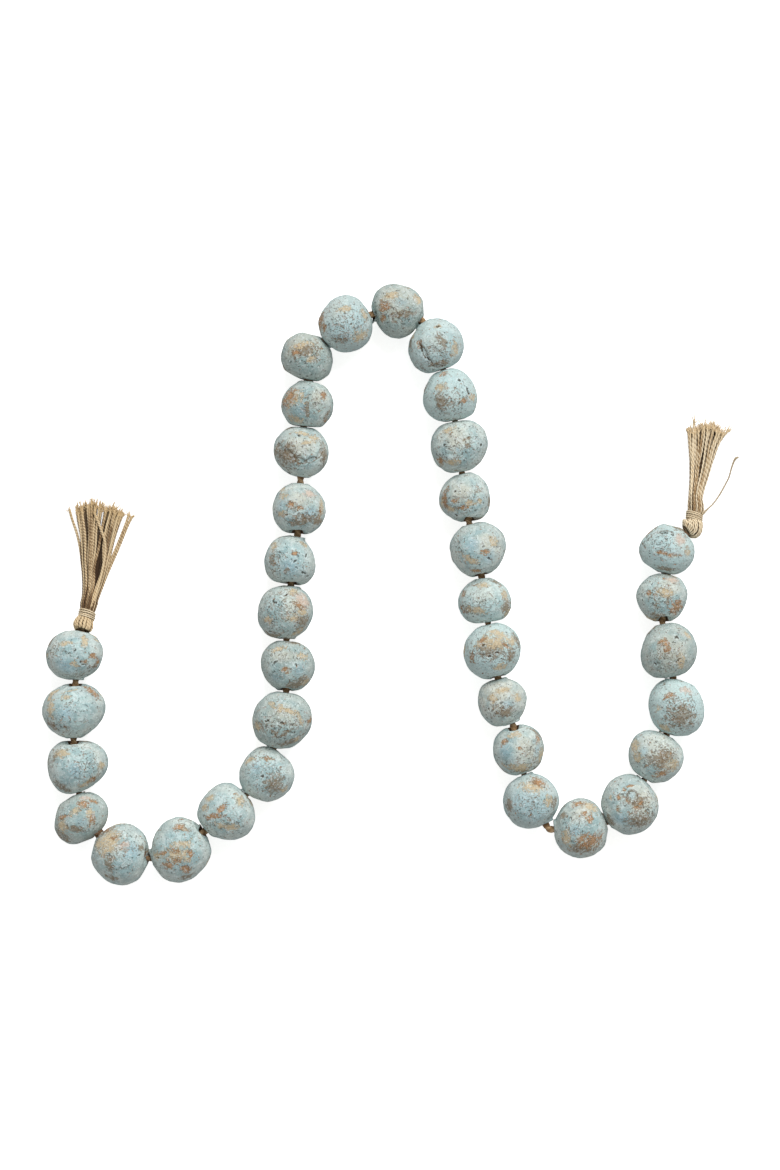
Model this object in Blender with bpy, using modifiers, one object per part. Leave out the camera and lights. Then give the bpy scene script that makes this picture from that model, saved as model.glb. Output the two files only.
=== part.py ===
"""Ceramic bead garland, laid on a flat surface in loose waves.

Thirty-five hand-rolled clay beads are threaded on one jute cord, which is looped at each end
through a jute tassel. Each tassel is bound round its neck with thread.

Frame: metres, +Z up, seen from above as it lies, +X to the right and +Y up the picture.
The origin is on the surface, under the middle of the whole garland. Driving dimensions are in
millimetres.
"""
from math import atan2, cos, pi, sin, sqrt
from typing import NamedTuple

import bmesh
import bpy
import numpy as np
from mathutils import Vector

MM = 0.001
UNEVEN = 2.4                # turn from one piece to the next in a wave that makes like pieces uneven

# Beads.
BEAD_AROUND = 12            # facets round the bore
BEAD_ALONG = 8              # facets from one mouth to the other
BEAD_FLATNESS = 0.96        # height against mean width, hand-rolled and a little squat
BEAD_FLATNESS_SWING = 0.03  # and how much that differs from bead to bead
FOOT_SINK = 0.5             # how far a bead is rubbed down where it stands
BORE_RADIUS = 3.4
BORE_SIDES = 10
BORE_OVERRUN = 4.0
END_CLEARANCE = 0.2         # from a bead's end to the plane that it shares with its neighbour
END_SOFTNESS = 0.5          # how gently a bead flattens towards that plane

# Cord.
CORD_RADIUS = 1.7
CORD_BEND = 8.0             # reach of each bend at a gap between beads
CORD_END_GAP = 0.35
SHARP_BEND_DEG = 24.0       # a bend over this has a point of its own at the gap

# Tassels.
STRAND_THICKNESS = 1.35
STRAND_FILL = 0.82          # share of its pitch that a strand takes where the bundle is tight
LEVEL_GAP = 0.2
SETTLE_FROM = 0.72          # where upper strands start to sink between the lower ones
TIP_ROUNDING = 0.09         # how much shorter a skirt's outer strands are
TIP_SWING = 0.022           # uneven cut ends, as a share of a strand
LEFT_LEAN = -0.2            # which side of the skirt has the longest strands, from -1 to 1
RIGHT_LEAN = -0.3
LOOPS_ROUND_HEAD = 8
LOOP_RIDGE = 0.05

# Bindings.
BOUND_SECTION = 4           # the binding runs from this section of the head and neck to the next
BINDING_INNER = 3.95
BINDING_OUTER = 4.85
BINDING_LENGTH = 3.9
WRAP_DEPTH = 0.35
LEFT_WRAPS = 3
RIGHT_WRAPS = 4
BINDING_STEPS = 16
TAIL_RADIUS = 0.55

CERAMIC = (0.42, 0.53, 0.54, 1.0)
JUTE = (0.46, 0.30, 0.16, 1.0)
DARK_JUTE = (0.21, 0.12, 0.06, 1.0)


class Bead(NamedTuple):
    """A bead's centre, and its outline seen from above: eight radii, an eighth of a turn apart."""
    x: float
    y: float
    e: float
    ne: float
    n: float
    nw: float
    w: float
    sw: float
    s: float
    se: float


class Place(NamedTuple):
    """A place on the surface."""
    x: float
    y: float


class Section(NamedTuple):
    """One section of a tassel's head and neck: its centre, width and height."""
    x: float
    y: float
    z: float
    width: float
    height: float


class Fan(NamedTuple):
    """One section of a tassel's skirt: its middle, its width and the height under it."""
    x: float
    y: float
    width: float
    under: float


class Loose(NamedTuple):
    """A point on the binding's loose end, with its thickness against the plain thread."""
    x: float
    y: float
    z: float
    swell: float


BEADS = (
    Bead(-182.2, -40.7, 16.3, 16.1, 14.6, 15.7, 16.5, 16.2, 14.5, 14.9),
    Bead(-182.6, -72.9, 18.4, 17.5, 16.4, 16.5, 18.6, 16.7, 16.6, 15.2),
    Bead(-180.5, -105.0, 17.4, 17.4, 15.4, 17.8, 17.3, 17.7, 15.6, 14.3),
    Bead(-178.1, -134.9, 14.8, 16.7, 14.7, 14.7, 15.4, 17.3, 14.1, 13.0),
    Bead(-155.9, -155.7, 17.0, 18.1, 17.8, 16.5, 17.0, 16.6, 17.8, 17.5),
    Bead(-120.8, -153.0, 17.7, 17.0, 19.0, 17.6, 17.7, 18.8, 19.1, 16.9),
    Bead(-94.9, -131.0, 16.7, 15.7, 16.8, 15.2, 16.6, 16.4, 16.4, 18.0),
    Bead(-71.3, -109.4, 16.1, 14.9, 16.2, 15.2, 16.1, 16.4, 16.4, 15.8),
    Bead(-62.5, -78.5, 17.3, 17.8, 17.0, 17.1, 17.0, 17.7, 16.8, 16.1),
    Bead(-59.1, -47.0, 15.5, 15.1, 14.9, 16.3, 15.5, 14.8, 15.0, 15.3),
    Bead(-60.8, -16.0, 16.1, 16.6, 15.9, 15.8, 15.7, 16.7, 15.9, 15.8),
    Bead(-57.9, 13.9, 14.3, 14.1, 14.7, 14.7, 14.7, 15.6, 14.7, 16.3),
    Bead(-52.7, 43.6, 15.4, 14.9, 15.1, 15.5, 15.4, 15.8, 15.1, 15.6),
    Bead(-51.6, 76.7, 16.1, 15.3, 15.3, 15.7, 16.1, 14.7, 15.3, 15.9),
    Bead(-47.9, 103.2, 15.2, 15.0, 14.8, 14.3, 15.1, 14.5, 14.8, 14.6),
    Bead(-48.2, 131.2, 14.7, 14.4, 14.5, 15.1, 14.8, 14.5, 14.4, 15.9),
    Bead(-25.7, 150.5, 15.5, 15.1, 16.6, 15.4, 16.0, 16.9, 16.6, 16.5),
    Bead(4.6, 157.6, 15.4, 15.1, 15.8, 17.0, 15.1, 14.4, 15.8, 14.4),
    Bead(26.3, 137.3, 16.0, 16.3, 16.4, 15.9, 16.0, 16.7, 15.9, 15.4),
    Bead(34.5, 108.8, 15.6, 15.3, 16.3, 15.5, 15.6, 16.3, 15.6, 16.3),
    Bead(39.6, 79.7, 16.3, 17.3, 15.4, 16.3, 16.2, 16.6, 15.5, 15.6),
    Bead(42.8, 50.1, 14.8, 15.2, 14.7, 13.8, 14.8, 14.4, 14.5, 15.9),
    Bead(50.4, 20.0, 16.2, 17.0, 16.0, 15.9, 16.2, 15.6, 16.2, 15.3),
    Bead(54.5, -9.8, 15.4, 14.2, 13.8, 14.1, 15.3, 14.9, 13.6, 14.8),
    Bead(58.9, -38.7, 16.3, 17.2, 16.6, 15.9, 16.8, 16.8, 16.5, 15.7),
    Bead(64.7, -68.2, 13.8, 14.7, 14.0, 15.2, 14.0, 14.1, 14.0, 13.5),
    Bead(73.9, -95.8, 14.7, 15.6, 15.0, 15.0, 14.7, 14.6, 15.0, 14.6),
    Bead(81.2, -125.0, 16.2, 15.8, 16.2, 16.2, 16.2, 16.2, 16.1, 15.4),
    Bead(109.9, -140.7, 15.6, 16.5, 17.2, 16.7, 15.6, 16.9, 17.1, 16.9),
    Bead(138.2, -126.9, 16.6, 16.3, 17.5, 17.3, 16.7, 17.3, 17.6, 17.0),
    Bead(153.1, -99.4, 16.1, 14.5, 15.2, 16.5, 15.7, 15.1, 15.3, 15.6),
    Bead(165.1, -70.9, 16.0, 16.0, 17.0, 17.4, 16.0, 16.4, 17.0, 17.7),
    Bead(160.7, -38.3, 16.1, 16.3, 16.3, 15.9, 16.1, 17.8, 15.9, 15.9),
    Bead(156.7, -7.9, 14.7, 15.5, 14.8, 14.5, 14.7, 13.8, 14.9, 13.9),
    Bead(159.7, 20.4, 16.0, 14.7, 15.1, 14.1, 16.2, 14.7, 15.0, 15.9),
)

# The cord's route, chosen by hand: where it leaves the left tassel, each gap between two beads
# in order, and where it meets the right tassel.
ROUTE = (
    Place(-178.0, -26.9), Place(-181.7, -56.3), Place(-182.8, -89.8), Place(-179.7, -120.4),
    Place(-168.4, -144.8), Place(-138.8, -157.9), Place(-107.0, -142.3), Place(-82.9, -120.9),
    Place(-67.5, -94.4), Place(-60.2, -62.1), Place(-60.0, -32.1), Place(-57.4, -0.3),
    Place(-53.6, 28.8), Place(-51.9, 60.2), Place(-50.1, 91.1), Place(-47.8, 118.1),
    Place(-38.0, 140.2), Place(-10.9, 155.7), Place(18.5, 152.0), Place(30.4, 124.0),
    Place(37.3, 94.3), Place(41.3, 64.6), Place(45.4, 36.0), Place(52.6, 4.8),
    Place(56.3, -22.0), Place(62.1, -54.0), Place(70.7, -81.1), Place(77.1, -109.4),
    Place(91.5, -141.1), Place(125.0, -137.1), Place(146.6, -112.6), Place(159.6, -86.0),
    Place(163.1, -54.2), Place(157.0, -21.7), Place(158.4, 6.3), Place(170.0, 30.2),
)

LEFT_CORE = (
    Section(-177.9, -26.3, 13.9, 7.4, 7.4),
    Section(-177.6, -25.4, 13.7, 11.0, 11.0),
    Section(-177.0, -23.4, 13.3, 11.6, 11.4),
    Section(-176.5, -21.4, 12.8, 10.2, 10.0),
    Section(-176.0, -20.4, 12.5, 7.0, 7.2),
    Section(-174.7, -14.7, 11.1, 7.0, 7.2),
    Section(-174.2, -13.4, 10.5, 9.2, 9.0),
    Section(-173.0, -10.0, 8.7, 9.9, 8.6),
    Section(-171.8, -5.5, 6.4, 10.6, 7.4),
    Section(-170.9, -2.0, 5.0, 8.0, 4.6),
)

RIGHT_CORE = (
    Section(170.5, 30.7, 13.9, 7.0, 7.2),
    Section(171.2, 31.3, 13.7, 11.0, 11.0),
    Section(173.1, 32.7, 13.3, 12.8, 11.6),
    Section(174.9, 34.9, 12.8, 10.8, 10.4),
    Section(175.1, 36.8, 12.4, 7.0, 7.2),
    Section(175.9, 42.6, 11.1, 7.0, 7.2),
    Section(176.0, 44.2, 10.5, 8.6, 8.8),
    Section(176.1, 48.7, 8.7, 8.7, 9.2),
    Section(176.9, 54.0, 6.8, 8.6, 8.2),
    Section(177.5, 58.0, 5.4, 6.4, 5.4),
)

# Where each head begins, at the bead, and where its neck ends, inside the strands.
LEFT_ENDS = ((-178.0, -26.6, 14.2), (-170.6, 0.6, 3.8))
RIGHT_ENDS = ((170.3, 30.5, 14.2), (177.9, 60.4, 4.6))

LEFT_FAN = (
    Fan(-173.6, -11.8, 7.0, 7.2),
    Fan(-172.0, -6.6, 10.4, 4.2),
    Fan(-170.5, 0.3, 13.6, 1.5),
    Fan(-170.2, 7.5, 15.2, 0.0),
    Fan(-169.7, 22.0, 20.0, 0.0),
    Fan(-168.6, 35.0, 28.0, 0.0),
    Fan(-167.6, 48.6, 37.0, 0.0),
)

RIGHT_FAN = (
    Fan(176.0, 46.6, 6.4, 6.6),
    Fan(176.6, 52.0, 8.2, 4.2),
    Fan(177.6, 59.2, 10.6, 1.5),
    Fan(178.5, 66.0, 12.4, 0.0),
    Fan(180.0, 75.0, 16.0, 0.0),
    Fan(181.4, 84.0, 21.0, 0.0),
    Fan(182.8, 95.2, 27.0, 0.0),
)

# The binding's loose end: a small knot, then down to the surface and along it.
RIGHT_TAIL = (
    Loose(180.0, 40.6, 11.6, 0.9),
    Loose(181.2, 41.6, 11.5, 2.1),
    Loose(182.2, 42.6, 11.2, 1.9),
    Loose(183.6, 44.0, 10.2, 1.0),
    Loose(186.6, 47.0, 6.6, 1.0),
    Loose(190.2, 52.2, 2.2, 1.0),
    Loose(193.1, 57.4, 0.6, 1.0),
    Loose(195.4, 62.0, 0.45, 0.9),
    Loose(196.8, 67.0, 0.45, 0.9),
    Loose(198.6, 72.0, 0.45, 0.8),
    Loose(201.1, 73.8, 0.45, 0.7),
)


class Layer(NamedTuple):
    """One layer of a tassel's strands, and the levels it lies on at its roots and its tips."""
    strands: int
    root_level: int
    tip_level: int


LEFT_LAYERS = (Layer(8, 0, 0), Layer(7, 1, 0), Layer(6, 2, 1), Layer(5, 3, 1))
RIGHT_LAYERS = (Layer(6, 0, 0), Layer(5, 1, 0), Layer(6, 2, 1), Layer(5, 3, 1), Layer(4, 4, 2))


def clear_scene():
    """Remove what is in the scene."""
    for thing in list(bpy.data.objects):
        bpy.data.objects.remove(thing, do_unlink=True)


def collection(name):
    """A collection of this name, linked to the scene."""
    group = bpy.data.collections.new(name)
    bpy.context.scene.collection.children.link(group)
    return group


def finish(thing, colour, roughness):
    """Give an object its own plain material."""
    material = bpy.data.materials.new(thing.name)
    material.use_nodes = True
    shader = material.node_tree.nodes["Principled BSDF"]
    shader.inputs["Base Color"].default_value = colour
    shader.inputs["Roughness"].default_value = roughness
    shader.inputs["Metallic"].default_value = 0.0
    thing.data.materials.clear()
    thing.data.materials.append(material)


def object_from(bm, name, group):
    """Turn a bmesh into an object in a collection."""
    mesh = bpy.data.meshes.new(name)
    bm.to_mesh(mesh)
    bm.free()
    thing = bpy.data.objects.new(name, mesh)
    group.objects.link(thing)
    return thing


def as_tool(thing):
    """Mark an object as a cutter or a shape that is only joined to another."""
    thing.hide_render = True
    thing.display_type = "WIRE"


def unite(thing, other, operation):
    """Add a Boolean that cuts the other object out, or joins it on."""
    boolean = thing.modifiers.new(operation.lower(), "BOOLEAN")
    boolean.operation = operation
    boolean.solver = "EXACT"
    boolean.object = other


def poly_curve(name, runs, depth, sides_each_way, tilt, group):
    """A tube along each run of points: a run is a list of (point in mm, radius factor)."""
    curve = bpy.data.curves.new(name, "CURVE")
    curve.dimensions = "3D"
    curve.twist_mode = "Z_UP"
    curve.bevel_depth = depth * MM
    curve.bevel_resolution = sides_each_way
    curve.use_fill_caps = True
    for run in runs:
        spline = curve.splines.new("POLY")
        spline.points.add(len(run) - 1)
        for knot, (place, swell) in zip(spline.points, run):
            knot.co = (place[0] * MM, place[1] * MM, place[2] * MM, 1.0)
            knot.radius = swell
            knot.tilt = tilt
    thing = bpy.data.objects.new(name, curve)
    group.objects.link(thing)
    return thing


def curve_to_mesh(tube, group):
    """Swap a tube for a mesh of the same shape, with its end caps welded on."""
    bpy.context.view_layer.update()
    evaluated = tube.evaluated_get(bpy.context.evaluated_depsgraph_get())
    mesh = bpy.data.meshes.new_from_object(evaluated)
    bm = bmesh.new()
    bm.from_mesh(mesh)
    bmesh.ops.remove_doubles(bm, verts=bm.verts, dist=0.000001)
    bmesh.ops.recalc_face_normals(bm, faces=bm.faces)
    bmesh.ops.triangulate(bm, faces=bm.faces)
    bm.to_mesh(mesh)
    bm.free()
    name = tube.name
    solid = bpy.data.objects.new(name + "_mesh", mesh)
    solid.matrix_world = tube.matrix_world.copy()
    group.objects.link(solid)
    bpy.data.objects.remove(tube, do_unlink=True)
    solid.name = name
    return solid


def flatness(number):
    """A bead's height against its width, a little different for each."""
    return BEAD_FLATNESS + BEAD_FLATNESS_SWING * sin(UNEVEN * number)


def mean_radius(bead):
    """The mean of a bead's eight outline radii."""
    return sum(bead[2:]) / 8


def centre_height(number):
    """The height of a bead's middle over the surface."""
    return mean_radius(BEADS[number]) * flatness(number) - FOOT_SINK


def route_points():
    """The route in space: each gap is as high as the middles of the beads beside it."""
    heights = [centre_height(number) for number in range(len(BEADS))]
    levels = [heights[0]]
    levels += [(low + high) / 2 for low, high in zip(heights, heights[1:])]
    levels.append(heights[-1])
    return [Vector((spot.x, spot.y, level)) for spot, level in zip(ROUTE, levels)]


def route_directions(points):
    """The cord's direction at each point of its route, halfway between the bores that meet."""
    bores = [(after - before).normalized() for before, after in zip(points, points[1:])]
    middle = [(one + other).normalized() for one, other in zip(bores, bores[1:])]
    first, last = BEADS[0], BEADS[-1]
    into_first = Vector((first.x, first.y, points[0].z)) - points[0]
    out_of_last = points[-1] - Vector((last.x, last.y, points[-1].z))
    return [into_first.normalized()] + middle + [out_of_last.normalized()]


def outline_terms(bead):
    """The outline as a mean and four pairs of waves round it, through its eight radii."""
    radii = np.array(bead[2:])
    angles = np.arange(8) * pi / 4
    terms = []
    for wave in range(1, 5):
        share = 1 / 8 if wave == 4 else 1 / 4
        terms.append((wave, share * (radii * np.cos(wave * angles)).sum(),
                      share * (radii * np.sin(wave * angles)).sum()))
    return terms


def bead_point(bead, terms, squat, way):
    """The point of the bead's skin in one direction: the waves fade towards top and bottom."""
    flat = sqrt(way.x * way.x + way.y * way.y)
    angle = atan2(way.y, way.x)
    radius = mean_radius(bead)
    for wave, along, across in terms:
        radius += (along * cos(wave * angle) + across * sin(wave * angle)) * flat ** wave
    return Vector((radius * way.x, radius * way.y, radius * squat * way.z))


def press_back(point, gap, outward):
    """Flatten a point softly against the plane at a gap between two beads."""
    depth = (gap - point).dot(outward) - END_CLEARANCE
    kept = END_SOFTNESS * float(np.logaddexp(0.0, depth / END_SOFTNESS))
    return point - outward * (kept - depth)


def make_bead(number, points, directions, parts, tools):
    """Roll one bead, flatten its ends and foot, and drill it for the cord."""
    bead = BEADS[number]
    before, after = points[number], points[number + 1]
    centre = Vector((bead.x, bead.y, centre_height(number)))
    bore_way = (after - before).normalized()
    turn = bore_way.to_track_quat("Z", "Y")
    terms = outline_terms(bead)

    bm = bmesh.new()
    bmesh.ops.create_uvsphere(bm, u_segments=BEAD_AROUND, v_segments=BEAD_ALONG, radius=1.0)
    for vertex in bm.verts:
        place = bead_point(bead, terms, flatness(number), turn @ vertex.co)
        place = press_back(place, before - centre, -directions[number])
        place = press_back(place, after - centre, directions[number + 1])
        vertex.co = place * MM
    foot = Vector((0.0, 0.0, -centre.z * MM))
    everything = bm.verts[:] + bm.edges[:] + bm.faces[:]
    cut = bmesh.ops.bisect_plane(bm, geom=everything, plane_co=foot, plane_no=(0, 0, 1), clear_inner=True)
    rim = [edge for edge in cut["geom_cut"] if isinstance(edge, bmesh.types.BMEdge)]
    bmesh.ops.holes_fill(bm, edges=rim, sides=0)

    thing = object_from(bm, f"bead_{number + 1:02d}", parts)
    thing.location = centre * MM

    length = (after - before).length + 2 * BORE_OVERRUN
    bpy.ops.mesh.primitive_cylinder_add(vertices=BORE_SIDES, radius=BORE_RADIUS * MM, depth=length * MM,
                                        location=(after + before) / 2 * MM, rotation=turn.to_euler())
    bore = bpy.context.active_object
    bore.name = f"bore_{number + 1:02d}"
    for group in list(bore.users_collection):
        group.objects.unlink(bore)
    tools.objects.link(bore)
    as_tool(bore)
    unite(thing, bore, "DIFFERENCE")
    thing.data.shade_smooth()
    finish(thing, CERAMIC, 0.8)
    return thing


def cord_point(points, directions, bead, share):
    """A place on the cord: a smooth cubic between two gaps, its bends kept close to them."""
    before, after = points[bead], points[bead + 1]
    rest = 1 - share
    return (before * (rest * rest * (1 + 2 * share)) + after * (share * share * (3 - 2 * share))
            + directions[bead] * (CORD_BEND * share * rest * rest)
            - directions[bead + 1] * (CORD_BEND * share * share * rest))


def make_cord(points, directions, parts):
    """The cord, from just short of one tassel's head to just short of the other's."""
    start = points[0] + directions[0] * CORD_END_GAP
    run = [start]
    last = len(BEADS) - 1
    for bead in range(len(BEADS)):
        run.append(cord_point(points, directions, bead, 0.1))
        run.append(cord_point(points, directions, bead, 0.9))
        if bead < last:
            before = (points[bead + 1] - points[bead]).normalized()
            after = (points[bead + 2] - points[bead + 1]).normalized()
            if before.angle(after) > SHARP_BEND_DEG * pi / 180:
                run.append(points[bead + 1])
    run.append(points[-1] - directions[-1] * CORD_END_GAP)
    cord = poly_curve("stringing_cord", [[(place, 1.0) for place in run]], CORD_RADIUS, 2, 0.0, parts)
    finish(cord, DARK_JUTE, 0.9)
    return cord


def crosswise(sections, start, end):
    """For each section, the level direction that is square to the run of the sections."""
    middles = [start, *sections, end]
    ways = []
    for before, after in zip(middles, middles[2:]):
        ways.append(Vector((after[1] - before[1], before[0] - after[0], 0.0)).normalized())
    return ways


def make_core(name, sections, start, end, parts):
    """A tassel's head and neck: a sphere whose rings take the sections' places and sizes."""
    ways = crosswise(sections, start, end)
    rings = len(sections)
    bm = bmesh.new()
    bmesh.ops.create_uvsphere(bm, u_segments=2 * LOOPS_ROUND_HEAD, v_segments=rings + 1, radius=1.0)
    ring_turn = pi / (rings + 1)
    widest = max(section.width for section in sections)
    for vertex in bm.verts:
        ring = round(atan2(sqrt(vertex.co.x ** 2 + vertex.co.y ** 2), -vertex.co.z) / ring_turn)
        if ring == 0:
            vertex.co = Vector(start) * MM
            continue
        if ring > rings:
            vertex.co = Vector(end) * MM
            continue
        section = sections[ring - 1]
        angle = atan2(vertex.co.y, vertex.co.x)
        ridge = 1 + LOOP_RIDGE * cos(LOOPS_ROUND_HEAD * angle) * (section.width > 0.85 * widest)
        rise = Vector((0.0, 0.0, section.height / 2 * ridge * sin(angle)))
        spread = ways[ring - 1] * (section.width / 2 * ridge * cos(angle))
        vertex.co = (Vector(section[:3]) + spread + rise) * MM
    bmesh.ops.recalc_face_normals(bm, faces=bm.faces)
    bmesh.ops.triangulate(bm, faces=bm.faces)
    return object_from(bm, name, parts)


def strand_run(fan, widest_layer, layer, index, lean, order):
    """One strand, from inside the neck to its cut end."""
    offset = (index - (layer.strands - 1) / 2) / widest_layer
    reach = 1 - TIP_ROUNDING * (2 * offset - lean) ** 2 + TIP_SWING * sin(UNEVEN * order)
    stations = np.array(fan)
    shares = np.linspace(0, 1, len(fan))
    run = []
    for share in shares * reach:
        x, y, width, under = (np.interp(share, shares, stations[:, column]) for column in range(4))
        thickness = min(STRAND_THICKNESS, STRAND_FILL * width / widest_layer)
        sunk = max(0.0, (share / reach - SETTLE_FROM) / (1 - SETTLE_FROM))
        level = layer.root_level + (layer.tip_level - layer.root_level) * sunk
        z = under + thickness / 2 + level * (thickness + LEVEL_GAP)
        run.append(((x + offset * width, y, z), thickness / STRAND_THICKNESS))
    return run


def make_tassel(name, sections, ends, fan, layers, lean, parts, tools):
    """Head, neck and strands of one tassel, joined into one solid at the strands' roots."""
    tassel = make_core(name, sections, ends[0], ends[1], parts)
    widest_layer = max(layer.strands for layer in layers)
    runs = []
    for layer in layers:
        for index in range(layer.strands):
            runs.append(strand_run(fan, widest_layer, layer, index, lean, len(runs)))
    skirt = poly_curve(name + "_strands", runs, STRAND_THICKNESS / sqrt(2), 0, pi / 4, tools)
    skirt = curve_to_mesh(skirt, tools)
    as_tool(skirt)
    unite(tassel, skirt, "UNION")
    tassel.data.shade_smooth()
    finish(tassel, JUTE, 0.95)
    return tassel


def make_binding(name, sections, wraps, parts):
    """Thread wound round a neck: a turned band with one ridge for each wrap."""
    low, high = sections[BOUND_SECTION], sections[BOUND_SECTION + 1]
    centre = (Vector(low[:3]) + Vector(high[:3])) / 2
    axis = (Vector(high[:3]) - Vector(low[:3])).normalized()
    mesh = bpy.data.meshes.new(name)
    outer = []
    steps = 4 * wraps
    for step in range(steps + 1):
        rise = BINDING_LENGTH * (0.5 - step / steps)
        bump = WRAP_DEPTH * abs(sin(pi * wraps * step / steps))
        outer.append(((BINDING_OUTER - WRAP_DEPTH + bump) * MM, 0.0, rise * MM))
    outer = outer[::2]
    inner = [(BINDING_INNER * MM, 0.0, outer[-1][2]), (BINDING_INNER * MM, 0.0, outer[0][2])]
    profile = outer + inner
    edges = [(index, (index + 1) % len(profile)) for index in range(len(profile))]
    mesh.from_pydata(profile, edges, [])
    thing = bpy.data.objects.new(name, mesh)
    parts.objects.link(thing)
    thing.location = centre * MM
    thing.rotation_mode = "QUATERNION"
    thing.rotation_quaternion = axis.to_track_quat("Z", "Y")
    screw = thing.modifiers.new("turn", "SCREW")
    screw.axis = "Z"
    screw.angle = 2 * pi
    screw.steps = BINDING_STEPS
    screw.render_steps = BINDING_STEPS
    screw.use_merge_vertices = True
    screw.merge_threshold = 0.00001
    screw.use_smooth_shade = True
    finish(thing, JUTE, 0.95)
    return thing


def make_garland():
    """Make every piece, parented to an empty at the origin."""
    clear_scene()
    parts = collection("ceramic_bead_garland")
    tools = collection("cutters")
    points = route_points()
    directions = route_directions(points)

    pieces = [make_bead(number, points, directions, parts, tools) for number in range(len(BEADS))]
    pieces.append(make_cord(points, directions, parts))

    pieces.append(make_tassel("tassel_left", LEFT_CORE, LEFT_ENDS, LEFT_FAN, LEFT_LAYERS,
                              LEFT_LEAN, parts, tools))
    pieces.append(make_tassel("tassel_right", RIGHT_CORE, RIGHT_ENDS, RIGHT_FAN, RIGHT_LAYERS,
                              RIGHT_LEAN, parts, tools))

    pieces.append(make_binding("binding_left", LEFT_CORE, LEFT_WRAPS, parts))
    right_binding = make_binding("binding_right", RIGHT_CORE, RIGHT_WRAPS, parts)
    tail_run = [((spot.x, spot.y, spot.z), spot.swell) for spot in RIGHT_TAIL]
    tail = curve_to_mesh(poly_curve("loose_end", [tail_run], TAIL_RADIUS, 1, 0.0, tools), tools)
    as_tool(tail)
    unite(right_binding, tail, "UNION")
    pieces.append(right_binding)

    middle = bpy.data.objects.new("garland_middle", None)
    parts.objects.link(middle)
    for piece in pieces:
        piece.parent = middle


make_garland()
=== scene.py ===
"""The looks of a ceramic bead garland: chalky hand-rolled beads, a twisted jute cord and two tassels.

Sizes are in millimetres until a mesh is made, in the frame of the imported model: +X to the right and
+Y up the picture, +Z up from the surface that the garland lies on.
"""
import logging
from dataclasses import dataclass, field
from enum import Enum
from math import pi, radians, sin
from typing import Any, Mapping, NamedTuple, Sequence

import bpy
import numpy as np
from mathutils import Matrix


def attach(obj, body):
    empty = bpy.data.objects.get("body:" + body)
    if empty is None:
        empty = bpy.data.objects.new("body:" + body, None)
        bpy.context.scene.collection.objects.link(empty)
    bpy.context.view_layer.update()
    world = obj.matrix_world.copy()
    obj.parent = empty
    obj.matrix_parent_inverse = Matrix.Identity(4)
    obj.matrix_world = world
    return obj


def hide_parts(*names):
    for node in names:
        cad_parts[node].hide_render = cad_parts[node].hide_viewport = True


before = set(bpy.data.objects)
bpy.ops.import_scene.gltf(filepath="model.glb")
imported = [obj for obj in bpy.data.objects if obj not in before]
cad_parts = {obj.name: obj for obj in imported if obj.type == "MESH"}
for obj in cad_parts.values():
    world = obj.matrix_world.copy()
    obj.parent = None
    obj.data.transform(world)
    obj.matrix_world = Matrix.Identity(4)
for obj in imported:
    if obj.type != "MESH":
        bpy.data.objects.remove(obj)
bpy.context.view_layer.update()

MM = 0.001
BODY = "root"
UP = np.array([0.0, 0.0, 1.0])
GOLDEN_TURN = 2.39996       # the angle that spreads points evenly over a disc

# The photograph's scale and the picture point over the frame's origin.
PHOTO_WIDE, PHOTO_HIGH = 780, 1170
MM_PER_PIXEL = 0.577
ORIGIN_ACROSS, ORIGIN_DOWN = 390.4, 584.4
CAMERA_HEIGHT = 3000.0      # above the floor, in mm
SUBJECT_HEIGHT = 15.5       # of the beads' middles

Rows = Sequence[Sequence[float]]
Finish = bpy.types.Material
log = logging.getLogger("garland")


class Stain(Enum):
    """What a mark on a bead is; the value names the mesh attribute that holds it."""
    RUST = "rust"
    TAN = "tan"
    UMBER = "umber"
    SALMON = "salmon"
    BLUE = "blue"
    SPECKLE = "speckle"
    PIT = "pit"
    DENT = "dent"
    CREAM = "cream"


class Side(Enum):
    """Which end of the garland a piece belongs to."""
    LEFT = "left"
    RIGHT = "right"


class Outline(NamedTuple):
    """A bead's centre, and its outline from above: eight radii, an eighth of a turn apart."""
    x: float
    y: float
    e: float
    ne: float
    n: float
    nw: float
    w: float
    sw: float
    s: float
    se: float


class Mark(NamedTuple):
    """A mark on a bead: photograph pixels of its middle, half sizes in mm, lean in degrees."""
    across: float
    down: float
    long: float
    short: float
    lean: float = 0.0


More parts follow.
